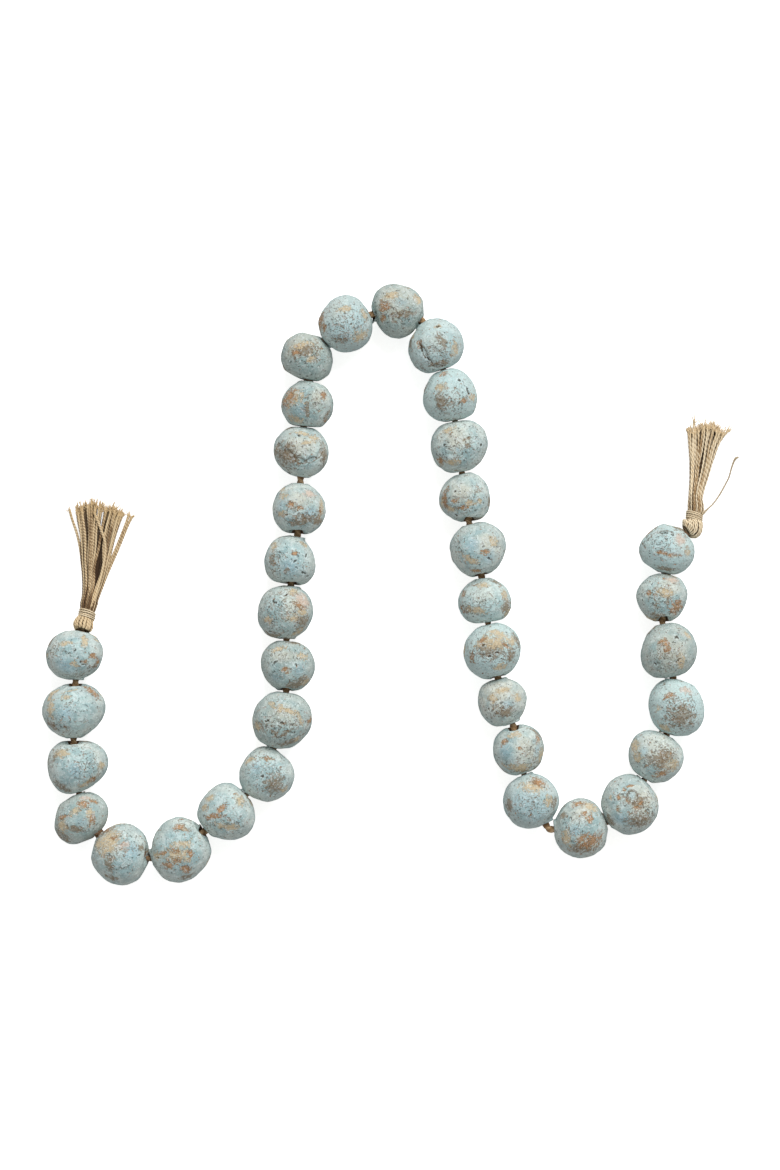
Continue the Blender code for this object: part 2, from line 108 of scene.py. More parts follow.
BEADS = tuple(Outline(*row) for row in (
    (-182.2, -40.7, 16.3, 16.1, 14.6, 15.7, 16.5, 16.2, 14.5, 14.9),
    (-182.6, -72.9, 18.4, 17.5, 16.4, 16.5, 18.6, 16.7, 16.6, 15.2),
    (-180.5, -105.0, 17.4, 17.4, 15.4, 17.8, 17.3, 17.7, 15.6, 14.3),
    (-178.1, -134.9, 14.8, 16.7, 14.7, 14.7, 15.4, 17.3, 14.1, 13.0),
    (-155.9, -155.7, 17.0, 18.1, 17.8, 16.5, 17.0, 16.6, 17.8, 17.5),
    (-120.8, -153.0, 17.7, 17.0, 19.0, 17.6, 17.7, 18.8, 19.1, 16.9),
    (-94.9, -131.0, 16.7, 15.7, 16.8, 15.2, 16.6, 16.4, 16.4, 18.0),
    (-71.3, -109.4, 16.1, 14.9, 16.2, 15.2, 16.1, 16.4, 16.4, 15.8),
    (-62.5, -78.5, 17.3, 17.8, 17.0, 17.1, 17.0, 17.7, 16.8, 16.1),
    (-59.1, -47.0, 15.5, 15.1, 14.9, 16.3, 15.5, 14.8, 15.0, 15.3),
    (-60.8, -16.0, 16.1, 16.6, 15.9, 15.8, 15.7, 16.7, 15.9, 15.8),
    (-57.9, 13.9, 14.3, 14.1, 14.7, 14.7, 14.7, 15.6, 14.7, 16.3),
    (-52.7, 43.6, 15.4, 14.9, 15.1, 15.5, 15.4, 15.8, 15.1, 15.6),
    (-51.6, 76.7, 16.1, 15.3, 15.3, 15.7, 16.1, 14.7, 15.3, 15.9),
    (-47.9, 103.2, 15.2, 15.0, 14.8, 14.3, 15.1, 14.5, 14.8, 14.6),
    (-48.2, 131.2, 14.7, 14.4, 14.5, 15.1, 14.8, 14.5, 14.4, 15.9),
    (-25.7, 150.5, 15.5, 15.1, 16.6, 15.4, 16.0, 16.9, 16.6, 16.5),
    (4.6, 157.6, 15.4, 15.1, 15.8, 17.0, 15.1, 14.4, 15.8, 14.4),
    (26.3, 137.3, 16.0, 16.3, 16.4, 15.9, 16.0, 16.7, 15.9, 15.4),
    (34.5, 108.8, 15.6, 15.3, 16.3, 15.5, 15.6, 16.3, 15.6, 16.3),
    (39.6, 79.7, 16.3, 17.3, 15.4, 16.3, 16.2, 16.6, 15.5, 15.6),
    (42.8, 50.1, 14.8, 15.2, 14.7, 13.8, 14.8, 14.4, 14.5, 15.9),
    (50.4, 20.0, 16.2, 17.0, 16.0, 15.9, 16.2, 15.6, 16.2, 15.3),
    (54.5, -9.8, 15.4, 14.2, 13.8, 14.1, 15.3, 14.9, 13.6, 14.8),
    (58.9, -38.7, 16.3, 17.2, 16.6, 15.9, 16.8, 16.8, 16.5, 15.7),
    (64.7, -68.2, 13.8, 14.7, 14.0, 15.2, 14.0, 14.1, 14.0, 13.5),
    (73.9, -95.8, 14.7, 15.6, 15.0, 15.0, 14.7, 14.6, 15.0, 14.6),
    (81.2, -125.0, 16.2, 15.8, 16.2, 16.2, 16.2, 16.2, 16.1, 15.4),
    (109.9, -140.7, 15.6, 16.5, 17.2, 16.7, 15.6, 16.9, 17.1, 16.9),
    (138.2, -126.9, 16.6, 16.3, 17.5, 17.3, 16.7, 17.3, 17.6, 17.0),
    (153.1, -99.4, 16.1, 14.5, 15.2, 16.5, 15.7, 15.1, 15.3, 15.6),
    (165.1, -70.9, 16.0, 16.0, 17.0, 17.4, 16.0, 16.4, 17.0, 17.7),
    (160.7, -38.3, 16.1, 16.3, 16.3, 15.9, 16.1, 17.8, 15.9, 15.9),
    (156.7, -7.9, 14.7, 15.5, 14.8, 14.5, 14.7, 13.8, 14.9, 13.9),
    (159.7, 20.4, 16.0, 14.7, 15.1, 14.1, 16.2, 14.7, 15.0, 15.9),
))

# The cord's route in plan: the left tassel, each gap between two beads, the right tassel.
ROUTE = (
    (-178.0, -26.9), (-181.7, -56.3), (-182.8, -89.8), (-179.7, -120.4), (-168.4, -144.8),
    (-138.8, -157.9), (-107.0, -142.3), (-82.9, -120.9), (-67.5, -94.4), (-60.2, -62.1),
    (-60.0, -32.1), (-57.4, -0.3), (-53.6, 28.8), (-51.9, 60.2), (-50.1, 91.1), (-47.8, 118.1),
    (-38.0, 140.2), (-10.9, 155.7), (18.5, 152.0), (30.4, 124.0), (37.3, 94.3), (41.3, 64.6),
    (45.4, 36.0), (52.6, 4.8), (56.3, -22.0), (62.1, -54.0), (70.7, -81.1), (77.1, -109.4),
    (91.5, -141.1), (125.0, -137.1), (146.6, -112.6), (159.6, -86.0), (163.1, -54.2),
    (157.0, -21.7), (158.4, 6.3), (170.0, 30.2),
)

# How far a bead's bore is worn back at its first and second end, so that the cord shows from above.
MOUTHS = {2: (3.4, 0.0), 3: (2.6, 0.0), 5: (0.0, 3.6), 6: (0.0, 2.6), 10: (1.6, 0.0), 12: (2.2, 0.0),
          13: (3.2, 0.0), 18: (1.8, 1.8), 22: (0.0, 2.6), 23: (0.0, 2.0), 25: (0.0, 2.0), 27: (3.6, 0.0),
          34: (3.2, 0.0)}

# How each bead came out of the kiln next to the others: above 0 paler, below 0 greyer.
FIRINGS = {4: -0.8, 9: -0.6, 10: -0.6, 11: -0.4, 15: -0.5, 16: -1.0, 18: -0.8, 29: -0.3, 33: -0.6,
           8: 0.2, 17: 0.4, 19: 0.5, 20: 0.8, 24: 0.5, 25: 0.7, 28: 0.3, 31: 0.3, 32: 1.0, 35: 0.7}

# The beads that are bluer than the others all over, and by how much of a blue mark.
BLUER_BEADS = (17, 19, 20, 25, 28, 32, 35)
BLUER = 0.6

# What the marks are that are drawn where the photograph hides a bead, in turn.
HIDDEN_KINDS = (Stain.RUST, Stain.TAN, Stain.TAN, Stain.UMBER, Stain.UMBER, Stain.SPECKLE, Stain.BLUE,
                Stain.PIT)

# The fields of Mark for each mark that shows, along the garland from the left tassel.
MARKS = {
    Stain.PIT: (
        (76.5, 650, 1.2, 0.6, 20), (79, 655, 1.8, 0.5, -65), (81.5, 661, 1.6, 0.5, -70),
        (85.5, 664, 1.6, 0.5, -25), (89, 668, 0.9, 0.5), (158.8, 857, 0.9, 0.8), (263, 775, 1.1, 0.8),
        (282, 722, 1.0, 0.8), (268, 720, 1.2, 0.8), (275, 662, 2.0, 0.8, 40), (296, 664, 1.0, 0.8),
        (275, 601.5, 1.9, 0.8, -35), (261, 609, 0.9, 0.9), (270, 631.5, 1.3, 0.7),
        (287, 594.5, 1.2, 0.6, 30), (295.5, 561.5, 1.1, 0.8), (298, 568, 1.2, 0.8, -50),
        (304, 573.5, 2.0, 0.8, -35), (307.5, 577, 1.2, 0.7), (306, 555, 1.6, 0.6, 50),
        (287, 515, 0.9, 0.8), (289, 473, 1.4, 1.2), (299, 436, 1.1, 0.9), (421, 350, 4.2, 0.65, -66),
        (428, 361, 3.0, 0.65, -48), (438, 327, 1.2, 0.8), (459, 381, 1.1, 0.9), (467, 391, 5.0, 0.65, -58),
        (444, 445, 1.1, 0.8), (481, 445, 0.9, 0.9), (455, 492, 1.1, 0.8), (456, 515, 1.2, 0.7),
        (488, 558, 1.6, 0.7, -30), (483, 645, 1.0, 0.8), (496, 652, 1.1, 0.7), (489, 656, 0.9, 0.7),
        (675, 637, 1.2, 0.9), (676, 660, 1.8, 0.6, 40), (653, 664, 1.5, 0.6, -30),
        (663, 532, 3.2, 0.65, -25), (672, 535, 1.1, 0.8),
    ),
    Stain.RUST: (
        (94.5, 656, 2.2, 1.4), (86, 661.5, 1.8, 1.4), (92, 779, 2.6, 1.6, 20), (84.5, 803.5, 2.8, 2.2),
        (96, 800.5, 2.4, 1.3), (63, 817, 3.2, 1.2, 8), (93.5, 819, 2.2, 2.0), (115, 837, 2.0, 1.2, -30),
        (168.5, 864.5, 3.2, 2.2), (177, 860, 2.8, 1.8), (186.5, 868, 2.6, 2.0, -40),
        (176, 849.5, 1.9, 1.4), (165, 851, 3.0, 0.9, 10), (191.5, 852.5, 1.9, 1.6),
        (214, 815, 4.2, 1.4, 8), (222, 808, 3.4, 1.4, 50), (285, 669, 2.4, 1.2, 8), (288, 672, 1.4, 1.0),
        (295, 553.5, 1.4, 1.3), (292, 505.5, 2.6, 1.8, -10), (300, 508, 2.0, 1.2), (321, 512, 0.9, 2.8),
        (290, 396, 4.6, 3.2, -60), (285, 402, 2.6, 2.4), (324, 396, 1.8, 2.2), (326, 420, 1.6, 1.6),
        (296, 353, 1.8, 1.2), (324, 328, 1.8, 2.2), (384, 319, 2.2, 1.8), (419, 345, 1.6, 2.2),
        (464, 401, 2.0, 1.4), (440, 462, 1.8, 2.8), (444, 500, 1.8, 4.6), (454, 501, 2.0, 1.3),
        (462, 508, 2.0, 1.2), (485, 552, 2.2, 1.4), (475, 571, 2.4, 1.2), (463, 594, 2.0, 1.8),
        (482, 640, 2.0, 1.0, 25), (505, 645, 2.0, 0.9, -40), (471, 658, 1.8, 2.4), (504, 741, 1.9, 1.6),
        (538, 739, 1.7, 2.0), (538, 781, 4.2, 2.6, -12), (577, 803, 3.0, 1.5), (584, 812, 2.0, 1.4, -35),
        (589, 818, 2.0, 1.8, -60), (590, 841, 5.6, 4.2, 12), (581, 838, 3.0, 2.2), (623, 788, 1.5, 1.3),
        (628, 785, 2.6, 0.9, 12), (618, 796, 1.5, 1.3), (627.5, 800, 1.5, 1.3, -30),
        (634, 806, 2.4, 1.0, -20), (639, 802, 1.6, 0.9, 50), (617, 808, 1.2, 1.8),
        (661, 773, 4.2, 1.7, 18), (668, 694, 2.6, 1.8), (665, 645.5, 1.6, 3.8, 15),
        (661, 641, 2.4, 1.0, 10), (648, 594, 1.8, 1.8), (675, 607, 3.4, 3.8), (660, 553, 3.2, 1.0, -6),
        (672, 556, 3.4, 1.1, -6),
    ),
    Stain.TAN: (
        (76, 663.5, 1.8, 1.6), (86, 641, 1.6, 3.4), (66, 643, 3.0, 1.5), (54.5, 692, 3.2, 2.0),
        (67, 697.5, 2.4, 1.2), (73, 690.5, 4.0, 0.6, 18), (51, 708, 2.2, 4.4), (103, 765.5, 2.0, 2.2),
        (62, 752, 4.0, 2.4), (88, 781, 4.0, 2.0, 30), (75.5, 811, 3.2, 1.4, 35), (62, 826, 2.6, 3.4),
        (92, 812, 2.0, 2.6), (109, 840, 6.5, 6.0), (99, 843, 2.8, 2.4), (183, 842.5, 5.5, 1.8, 15),
        (178, 854, 6.5, 4.0), (158, 855, 2.4, 2.0), (211, 798, 2.6, 1.8), (205, 807, 2.4, 1.8),
        (228, 826, 5.0, 2.0, -10), (240, 800, 2.4, 3.0), (250, 760, 2.6, 1.8), (285, 789, 2.6, 1.6),
        (290, 710, 4.4, 1.1, -20), (301, 717, 3.4, 1.1, -60), (257, 725, 2.4, 2.2), (303, 656, 2.6, 2.0),
        (279, 648, 4.0, 1.2, 10), (306, 682, 2.6, 2.4), (303, 612, 2.8, 2.2), (293, 618, 2.4, 1.6),
        (268, 619, 2.4, 1.8), (298, 632, 4.0, 1.6, 30), (274, 546, 1.8, 2.2), (304, 545, 2.0, 1.6),
        (283.5, 496, 2.2, 1.6), (322, 507, 1.6, 5.5), (282, 514, 3.2, 1.4, 10), (309, 443, 3.6, 1.0, 12),
        (303, 434, 4.0, 1.2, -20), (314, 438, 2.6, 1.4), (292, 399, 5.0, 4.4), (296, 420, 4.0, 2.0),
        (300, 346, 5.0, 1.8, 14), (311, 360, 2.2, 1.8), (344, 310, 3.4, 1.6, 8), (364, 315, 2.4, 2.2),
        (361, 337, 4.2, 2.8), (390, 296, 4.0, 1.8, 10), (418, 300, 2.4, 2.6), (438, 327, 1.8, 1.4),
        (455, 350, 2.4, 3.4), (441, 388, 3.0, 2.0), (449, 430, 3.6, 1.4, 12), (452, 463, 4.0, 1.6),
        (470, 504, 2.8, 1.6), (450, 509, 3.6, 1.8), (494, 541, 2.4, 2.4), (470, 560, 3.4, 1.6, -20),
        (476, 611, 4.4, 1.9), (483, 585, 2.8, 1.6), (505, 594, 2.2, 2.4), (484, 640, 4.8, 2.0, 25),
        (498, 633, 5.4, 2.0, -20), (512, 640, 3.4, 2.0, 40), (500, 667, 3.4, 1.8), (495, 641, 7.0, 3.4),
        (502, 690, 3.6, 1.8, 8), (492, 697, 2.2, 2.2), (517, 697, 2.2, 2.0), (514, 734, 3.8, 1.8),
        (517, 768, 6.4, 2.2, 6), (532, 785, 6.0, 3.0, -8), (548, 800, 2.2, 3.0), (566, 838, 2.4, 4.0, 15),
        (590, 806, 4.5, 3.0, -30), (610, 797, 0.9, 1.2), (634, 744, 2.2, 4.0, 10), (637, 757, 2.6, 2.4),
        (672, 765, 3.4, 3.4), (663, 727, 3.2, 2.2), (687, 635, 2.4, 1.8), (680, 661, 1.8, 4.2),
        (664, 593, 3.6, 2.0), (687, 552, 1.8, 2.2), (680, 527, 2.2, 1.8),
    ),
    Stain.SPECKLE: (
        (59, 648, 5.5, 4.0), (82, 673, 8.0, 3.5), (60, 724, 5.0, 3.0, -20), (91, 770, 7.5, 6.5),
        (112, 843, 8.0, 7.0), (124, 867, 5.0, 1.2, 5), (234, 823, 7.0, 4.0, -20), (270, 775, 7.0, 6.0),
        (283, 728, 9.0, 6.0), (282, 652, 8.0, 4.0), (277, 618, 8.5, 9.0), (274, 562, 3.6, 5.0),
        (302, 518, 7.0, 4.0), (290, 455, 7.0, 6.0), (312, 402, 5.0, 6.0), (304, 357, 7.0, 5.0),
        (345, 327, 7.0, 6.0), (400, 318, 7.0, 4.0), (440, 352, 6.5, 5.0), (455, 400, 7.0, 5.0),
        (460, 453, 8.0, 6.5), (460, 505, 6.5, 4.5), (459, 543, 3.4, 6.5), (482, 602, 7.0, 4.0),
        (492, 655, 7.5, 5.0), (500, 707, 6.5, 4.5), (535, 751, 4.0, 4.6), (531, 809, 7.0, 5.0),
        (573, 824, 6.0, 5.0), (647, 806, 5.0, 6.0), (660, 755, 7.5, 6.5), (680, 716, 7.5, 7.0),
        (660, 660, 6.5, 5.0), (660, 600, 6.0, 5.0), (663, 545, 6.5, 5.0),
    ),
    Stain.BLUE: (
        (66, 666, 6.0, 4.5), (67, 713, 4.5, 4.0), (77, 770, 4.0, 4.5), (82, 820, 3.4, 2.6),
        (134, 850, 5.0, 5.0), (257, 768, 3.0, 3.0), (300, 670, 3.6, 3.6), (275, 678, 4.0, 3.4),
        (291, 567, 5.5, 5.0), (280, 506, 3.2, 3.8), (311, 512, 4.0, 3.4), (301, 410, 3.6, 3.6),
        (402, 304, 4.0, 3.0), (472, 545, 4.0, 4.4), (508, 703, 3.8, 3.0), (505, 752, 5.0, 4.4),
        (575, 830, 3.0, 3.0), (632, 794, 2.2, 2.6), (619, 819, 4.4, 3.6), (643, 750, 2.6, 3.0),
        (695, 703, 3.2, 4.0),
    ),
    Stain.UMBER: (
        (53, 725, 3.2, 2.2, -30), (67.5, 726, 1.6, 0.9), (56, 755, 3.4, 1.4, 65), (62, 787, 4.2, 2.4, -35),
        (76, 829, 5.0, 1.6, -15), (92, 838, 4.0, 2.0, 20), (111, 862, 2.4, 5.0), (112, 877, 3.4, 1.6),
        (188, 876, 4.0, 1.6, 20), (275, 784, 4.5, 5.0), (274, 732, 3.4, 1.0, -45),
        (286, 732, 4.2, 1.0, 32), (290, 742, 6.5, 1.8, 8), (298, 684, 5.0, 3.4, 25), (290, 685, 1.2, 3.0),
        (303, 622, 4.0, 4.4), (287.5, 571, 1.6, 1.6), (273, 559, 1.6, 3.4), (304, 521, 7.0, 2.4, 12),
        (286, 457, 5.6, 5.6), (325, 456, 2.4, 6.0), (307.5, 411, 1.1, 4.6), (304, 351, 7.0, 2.8, 8),
        (340, 342, 4.0, 1.6), (405, 315, 6.0, 1.8, 8), (439, 365, 4.6, 1.8), (440, 402, 3.0, 3.8),
        (465, 440, 3.4, 0.8, 25), (468, 446, 2.4, 0.8, -30), (466, 609, 3.2, 1.8), (490, 648, 7.0, 4.0),
        (510, 655, 3.0, 3.0), (505, 712, 5.0, 2.2), (524, 770, 4.0, 1.6), (508, 805, 2.4, 3.6),
        (563, 815, 2.0, 1.8), (580, 848, 6.5, 3.0), (638, 820, 6.5, 3.8), (661, 758, 6.6, 4.0, 20),
        (680, 717, 6.4, 6.0), (657, 616, 3.0, 1.8), (655, 605, 0.9, 3.0), (667, 602, 0.9, 3.2),
        (665, 569, 4.4, 1.6),
    ),
    Stain.SALMON: (
        (85, 797.5, 2.4, 1.4), (126, 843, 3.0, 1.8), (303, 600, 4.0, 4.0), (309.5, 494, 2.6, 2.2),
        (685, 690, 3.2, 2.0), (673, 580, 3.0, 2.0), (679, 540, 3.0, 3.0),
    ),
    Stain.DENT: (
        (279, 447, 3.4, 1.5, -35), (289, 454, 3.8, 1.7, -35), (300, 461, 3.8, 1.7, -22),
        (312, 461, 3.2, 1.6, 15), (321, 454, 3.2, 1.4, 52), (438, 367, 3.0, 1.2, -15),
        (424, 354, 6.0, 1.3, -60), (631, 795, 3.2, 3.9), (664, 532, 5.0, 1.2, -20),
    ),
    Stain.CREAM: (
        (108, 842, 7, 7), (282, 712, 7, 5), (285, 655, 7, 4), (300, 606, 7, 7), (300, 500, 7, 5),
        (300, 445, 8, 6), (318, 398, 5, 5), (302, 345, 9, 6), (338, 312, 8, 6), (396, 302, 9, 8),
        (432, 340, 8, 8), (446, 398, 8, 7), (455, 438, 7, 6), (460, 492, 7, 6), (488, 543, 7, 6),
        (484, 592, 6, 5), (492, 640, 9, 8), (500, 694, 11, 9), (526, 748, 6, 7), (534, 785, 8, 6),
        (580, 812, 6, 4), (640, 798, 7, 8), (655, 748, 10, 8), (670, 690, 6, 4), (672, 652, 9, 10),
        (670, 585, 6, 5), (682, 545, 5, 6),
    ),
}

# The bundle's middle x, y and z, its width and its height at stations along a tassel's strands.
LEFT_STATIONS = (
    (-176.3, -21.2, 12.7, 7.6, 7.6), (-175.35, -17.6, 11.8, 7.8, 7.8), (-174.5, -14.0, 10.7, 9.4, 9.0),
    (-174.0, -11.4, 9.6, 10.3, 9.2), (-173.4, -8.6, 8.3, 10.1, 8.6), (-172.6, -5.0, 6.4, 10.8, 7.6),
    (-171.4, 1.5, 4.4, 13.2, 6.8), (-170.7, 8.0, 3.3, 15.2, 6.2), (-170.2, 14.1, 3.0, 16.9, 5.8),
    (-169.2, 25.6, 2.7, 20.4, 5.2), (-168.3, 35.0, 2.4, 24.8, 4.8), (-167.6, 41.0, 2.3, 28.2, 4.4),
    (-167.2, 46.5, 2.2, 30.5, 4.2),
)
RIGHT_STATIONS = (
    (174.9, 36.3, 12.6, 7.6, 7.6), (175.5, 39.7, 11.8, 8.0, 8.0), (176.2, 43.0, 10.9, 9.6, 9.2),
    (176.1, 46.0, 9.9, 9.5, 9.0), (175.9, 49.3, 8.6, 8.6, 8.6), (176.6, 54.5, 6.4, 9.2, 8.0),
    (178.2, 63.1, 4.2, 11.4, 7.4), (179.6, 71.8, 3.4, 14.2, 6.6), (180.8, 80.4, 3.0, 17.4, 5.8),
    (181.8, 86.5, 2.8, 20.6, 5.2), (182.2, 92.0, 2.5, 22.0, 4.8),
)

# The same for a tassel's head, from its binding to the bead.
LEFT_HEAD = (
    (-175.4, -17.8, 11.8, 7.2, 7.2), (-176.0, -20.0, 12.4, 9.8, 9.4), (-176.9, -22.4, 12.9, 11.8, 10.8),
    (-177.5, -24.4, 13.4, 12.0, 11.2), (-177.9, -25.5, 13.7, 10.4, 10.2), (-178.0, -26.0, 13.9, 7.4, 7.4),
    (-178.0, -26.15, 14.0, 3.6, 3.6),
)
RIGHT_HEAD = (
    (175.5, 39.6, 11.8, 7.2, 7.2), (175.2, 37.0, 12.4, 9.2, 9.2), (174.9, 35.0, 12.8, 11.4, 10.8),
    (173.8, 33.0, 13.2, 13.4, 11.8), (172.4, 31.8, 13.6, 12.6, 11.2), (171.2, 31.0, 13.9, 9.0, 8.8),
    (170.65, 30.7, 14.1, 4.0, 4.0),
)

# The points x, y and z that each strand lying apart from the bundle passes.
LEFT_STRAYS = (
    ((-175.2, -14.0, 10.8), (-175.6, -4.0, 6.0), (-177.6, 9.0, 2.2), (-178.9, 20.0, 0.9),
     (-180.8, 29.0, 0.9), (-183.6, 37.6, 1.2), (-185.2, 43.2, 1.6)),
    ((-171.9, -13.1, 10.0), (-169.1, -5.2, 6.8), (-165.6, 3.8, 3.9), (-162.1, 12.1, 2.6),
     (-159.0, 19.1, 1.9), (-155.6, 27.4, 1.6), (-152.9, 34.3, 1.3), (-150.9, 40.0, 1.2)),
    ((-171.0, -13.6, 9.2), (-168.0, -5.8, 5.8), (-164.5, 3.2, 3.0), (-161.0, 11.5, 1.3),
     (-157.9, 18.5, 0.95), (-154.5, 26.8, 0.95), (-151.7, 33.7, 0.95), (-149.2, 38.8, 1.0)),
    ((-172.4, -13.0, 13.0), (-171.0, -9.0, 11.4), (-168.6, -1.0, 8.0), (-166.4, 7.4, 6.0),
     (-164.6, 18.0, 5.2), (-165.0, 25.6, 5.1), (-168.0, 34.3, 4.7), (-171.0, 41.6, 4.3)),
)
RIGHT_STRAYS = (
    ((178.4, 46.0, 10.0), (180.4, 56.0, 6.0), (183.4, 68.0, 1.6), (186.8, 77.0, 0.9), (190.4, 83.0, 1.0),
     (193.4, 87.0, 1.4), (195.4, 89.2, 1.6)),
    ((178.0, 46.0, 9.4), (179.8, 56.0, 5.6), (182.4, 68.0, 2.0), (185.4, 76.6, 1.6), (188.6, 82.4, 1.6),
     (191.0, 86.2, 1.8)),
    ((173.8, 46.0, 11.6), (173.6, 56.0, 9.0), (173.9, 68.0, 5.8), (174.4, 80.0, 4.4), (174.9, 88.0, 3.6),
     (175.2, 94.2, 3.4)),
)

# The right binding's loose end: middle of the thread and its thickness against the plain thread.
LOOSE_END = (
    (179.4, 40.0, 11.8, 1.2), (180.6, 41.2, 11.9, 1.9), (181.6, 42.2, 11.4, 1.5), (183.6, 44.0, 10.2, 1.0),
    (186.6, 47.0, 6.6, 1.0), (190.2, 52.2, 2.2, 1.0), (193.1, 57.4, 0.6, 1.0), (195.4, 62.0, 0.5, 0.95),
    (196.8, 67.0, 0.5, 1.1), (198.4, 71.4, 0.6, 1.3), (199.4, 72.8, 0.7, 1.5), (200.9, 73.6, 0.5, 1.0),
)


def linear(red: int, green: int, blue: int) -> tuple[float, float, float, float]:
    """A colour picked in eight-bit display values, as the shader's linear light.

    Args:
        red, green, blue: display values from 0 to 255.

    Returns:
        The colour with each value v turned into ((v / 255 + 0.055) / 1.055) ^ 2.4, and full alpha.
    """
    channels = [((value / 255 + 0.055) / 1.055) ** 2.4 for value in (red, green, blue)]
    return (*channels, 1.0)


def smoothstep(low: float, high: float, values: np.ndarray) -> np.ndarray:
    """Rise from 0 at low to 1 at high, as 3 t^2 - 2 t^3."""
    share = np.clip((values - low) / (high - low), 0.0, 1.0)
    return share * share * (3 - 2 * share)


def unit(vectors: np.ndarray) -> np.ndarray:
    """Vectors along the last axis, scaled to length 1."""
    return vectors / np.maximum(np.linalg.norm(vectors, axis=-1, keepdims=True), 1e-9)


def square_to(ways: np.ndarray, level: np.ndarray = UP) -> tuple[np.ndarray, np.ndarray]:
    """Two unit ways square to each way: one that is square to level too, and the one above it."""
    side = unit(np.cross(ways, level))
    return side, np.cross(side, ways)


def laid(knots: Rows) -> np.ndarray:
    """Knots read off the photograph at the beads' middle height, moved out to where they lie.

    Formula: a point at height z is seen from the camera's height c as if it were at the middle height
    m when its x and y are those read, times (c - z) / (c - m).

    Args:
        knots: rows of x, y, z and anything else, in mm.

    Returns:
        The rows with their x and y moved.
    """
    rows = np.array(knots, dtype=float)
    rows[:, :2] *= (CAMERA_HEIGHT - rows[:, 2:3]) / (CAMERA_HEIGHT - SUBJECT_HEIGHT)
    return rows


def ripples(points: np.ndarray, wavelength: float, waves: int, rng: np.random.Generator) -> np.ndarray:
    """An uneven field over points in space.

    Formula: the sum over the waves of sin(2 pi k . p + phase), divided by the root of half their
    number, where each k has a random direction and a length near 1 / wavelength.

    Args:
        points: places in mm, on the last axis.
        wavelength: the distance between two like lumps, in mm.
        waves: how many plane waves are added.
        rng: the seeded source of the directions, lengths and phases.

    Returns:
        One value for each point, mostly between -2 and 2.
    """
    ways = unit(rng.normal(size=(waves, 3))) * rng.uniform(0.7, 1.4, (waves, 1)) / wavelength
    phases = rng.uniform(0, 2 * pi, waves)
    return np.sin(2 * pi * points @ ways.T + phases).sum(axis=-1) / np.sqrt(waves / 2)


def through(knots: np.ndarray, samples: int) -> np.ndarray:
    """A smooth run through knots.

    Formula: between knots b and c, with their neighbours a and d, the Catmull-Rom cubic
    (2 b + (c - a) t + (2 a - 5 b + 4 c - d) t^2 + (3 b - a - 3 c + d) t^3) / 2.

    Args:
        knots: one row for each knot.
        samples: how many rows are wanted, evenly over the knots.

    Returns:
        An array of samples rows.
    """
    padded = np.vstack([2 * knots[0] - knots[1], knots, 2 * knots[-1] - knots[-2]])
    places = np.linspace(0, len(knots) - 1, samples)
    cell = np.minimum(places.astype(int), len(knots) - 2)
    t = (places - cell)[:, None]
    a, b, c, d = (padded[cell + step] for step in range(4))
    return (2 * b + (c - a) * t + (2 * a - 5 * b + 4 * c - d) * t ** 2
            + (3 * b - a - 3 * c + d) * t ** 3) / 2


def grid_quads(rows: int, columns: int, closed: bool) -> np.ndarray:
    """The faces of a grid whose columns run round and meet.

    Args:
        rows: rows of points.
        columns: points in a row.
        closed: whether the last row also joins the first.

    Returns:
        For each cell, the corners (r, c), (r, c + 1), (r + 1, c + 1) and (r + 1, c).
    """
    row = np.arange(rows if closed else rows - 1)[:, None] * columns
    below = (row + columns) % (rows * columns)
    column = np.arange(columns)[None, :]
    beside = (column + 1) % columns
    return np.stack([row + column, row + beside, below + beside, below + column], axis=-1).reshape(-1, 4)


def tube_faces(rings: int, sides: int) -> tuple[np.ndarray, np.ndarray]:
    """The faces of a closed tube.

    Args:
        rings: rings of points, which come first.
        sides: points in a ring; the first ring's middle and the last one's come after all rings.

    Returns:
        The four-cornered cells of its side, and the fans of triangles that close its ends.
    """
    ring = np.arange(sides)
    beside = (ring + 1) % sides
    far = (rings - 1) * sides
    start = np.stack([np.full(sides, rings * sides), beside, ring], axis=-1)
    end = np.stack([np.full(sides, rings * sides + 1), far + ring, far + beside], axis=-1)
    return grid_quads(rings, sides, False), np.concatenate([start, end])


def link(thing: bpy.types.Object) -> None:
    """Show an object in the scene."""
    bpy.context.scene.collection.objects.link(thing)


